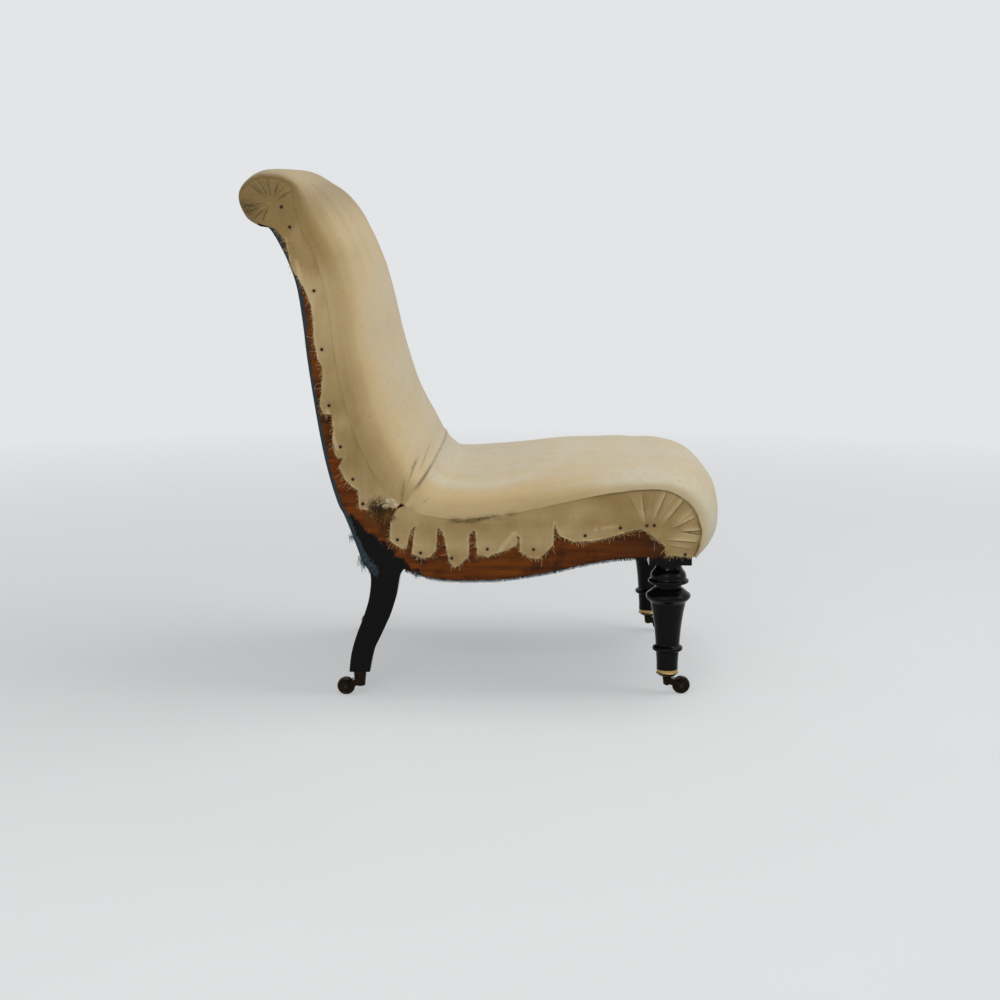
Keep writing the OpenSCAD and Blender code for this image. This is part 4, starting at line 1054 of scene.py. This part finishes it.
def makeWadding():
    bm = bmesh.new()
    for side in (-1, 1):
        for y, z, long, high, seed in ((142, 311, 8, 6, 1.0), (150, 304, 5, 4, 2.0), (135, 306, 4, 5, 4.0)):
            part = bmesh.new()
            bmesh.ops.create_icosphere(part, subdivisions=4, radius=1.0)
            for v in part.verts:
                a, b, c = v.co * (1 + 0.45 * waver(*v.co, 0.7, seed) + 0.25 * waver(*v.co, 0.25, seed))
                v.co = Vector((side * (246.6 + 1.6 * a), y + long * b, z + high * c)) * mm
            bmesh.ops.recalc_face_normals(part, faces=part.faces)
            addPart(bm, part)
    obj = newObject("kneeWadding", bm, wadding)
    declare(obj, "calico")


makeWadding()
print("tears filled")


# Camera, lights and floor

camera = {"place": (-2.9938, -0.0549, 0.768), "turn": 0.6, "tilt": 9.38, "lens": 65.376}
cameraData = bpy.data.cameras.new("camera")
cameraData.lens = camera["lens"]
cameraData.sensor_width = 36
cameraObject = inScene("camera", cameraData)
cameraObject.location = camera["place"]
cameraObject.rotation_euler = (math.radians(90 - camera["tilt"]), 0, math.radians(camera["turn"] - 90))
bpy.context.scene.camera = cameraObject


def areaLight(name, spot, aim, size, power, colour, thin=1.0):
    data = bpy.data.lights.new(name, "AREA")
    data.shape = "RECTANGLE"
    data.size = size
    data.size_y = size * thin
    data.energy = power
    data.color = colour
    obj = inScene(name, data)
    obj.location = spot
    obj.rotation_euler = (Vector(aim) - Vector(spot)).to_track_quat("-Z", "Y").to_euler()


studio = {"top": 27, "front": 16, "near": 10, "window": 9, "sky": 0.42, "pale": 0.8,
          "white": (0.96, 0.98, 1.0)}
areaLight("top", (0.2, -0.9, 2.6), (0, 0, 0.4), 1.8, studio["top"], (0.95, 0.98, 1.0))
areaLight("front", (-0.9, -2.6, 1.5), (0, 0, 0.4), 1.4, studio["front"], (0.94, 0.98, 1.0))
areaLight("near", (-2.6, 0.7, 1.9), (0, 0, 0.35), 1.8, studio["near"], (1.0, 0.96, 0.88))
areaLight("window", (-2.3, 0.35, 1.5), (-0.25, -0.29, 0.15), 0.9, studio["window"], studio["white"], 0.07)


bpy.context.scene.world = bpy.data.worlds.new("studio")
air = Paint("studio", bpy.context.scene.world)
air.feed(air.shader.inputs["Strength"], air.ramp(air.background(), 0.0, 1.0, studio["sky"], studio["pale"]))
air.feed(air.shader.inputs["Color"], studio["white"])


def stageFloor():
    p = Paint("floor")
    p.finish(p.mix(p.noise(3.0, 4.0), (0.7, 0.7, 0.69), (0.74, 0.74, 0.73)), 0.9)
    glow = p.add("ShaderNodeEmission")
    p.feed(glow.inputs["Color"], studio["white"])
    glow.inputs["Strength"].default_value = studio["pale"]
    reach = p.add("ShaderNodeVectorMath", operation="LENGTH")
    p.link(p.place, reach.inputs[0])
    far = p.ramp(reach.outputs["Value"], 0.9, 3.2, 0.45, 1.0)
    both = p.add("ShaderNodeMixShader")
    p.link(p.times(p.background(), far), both.inputs[0])
    p.link(p.shader.outputs[0], both.inputs[1])
    p.link(glow.outputs[0], both.inputs[2])
    p.link(both.outputs[0], p.tree.nodes["Material Output"].inputs["Surface"])
    bm = bmesh.new()
    bmesh.ops.create_grid(bm, x_segments=1, y_segments=1, size=60)
    newObject("floor", bm, p.owner, smooth=False)


stageFloor()
bpy.context.scene.view_settings.view_transform = "Standard"
print("stage made")
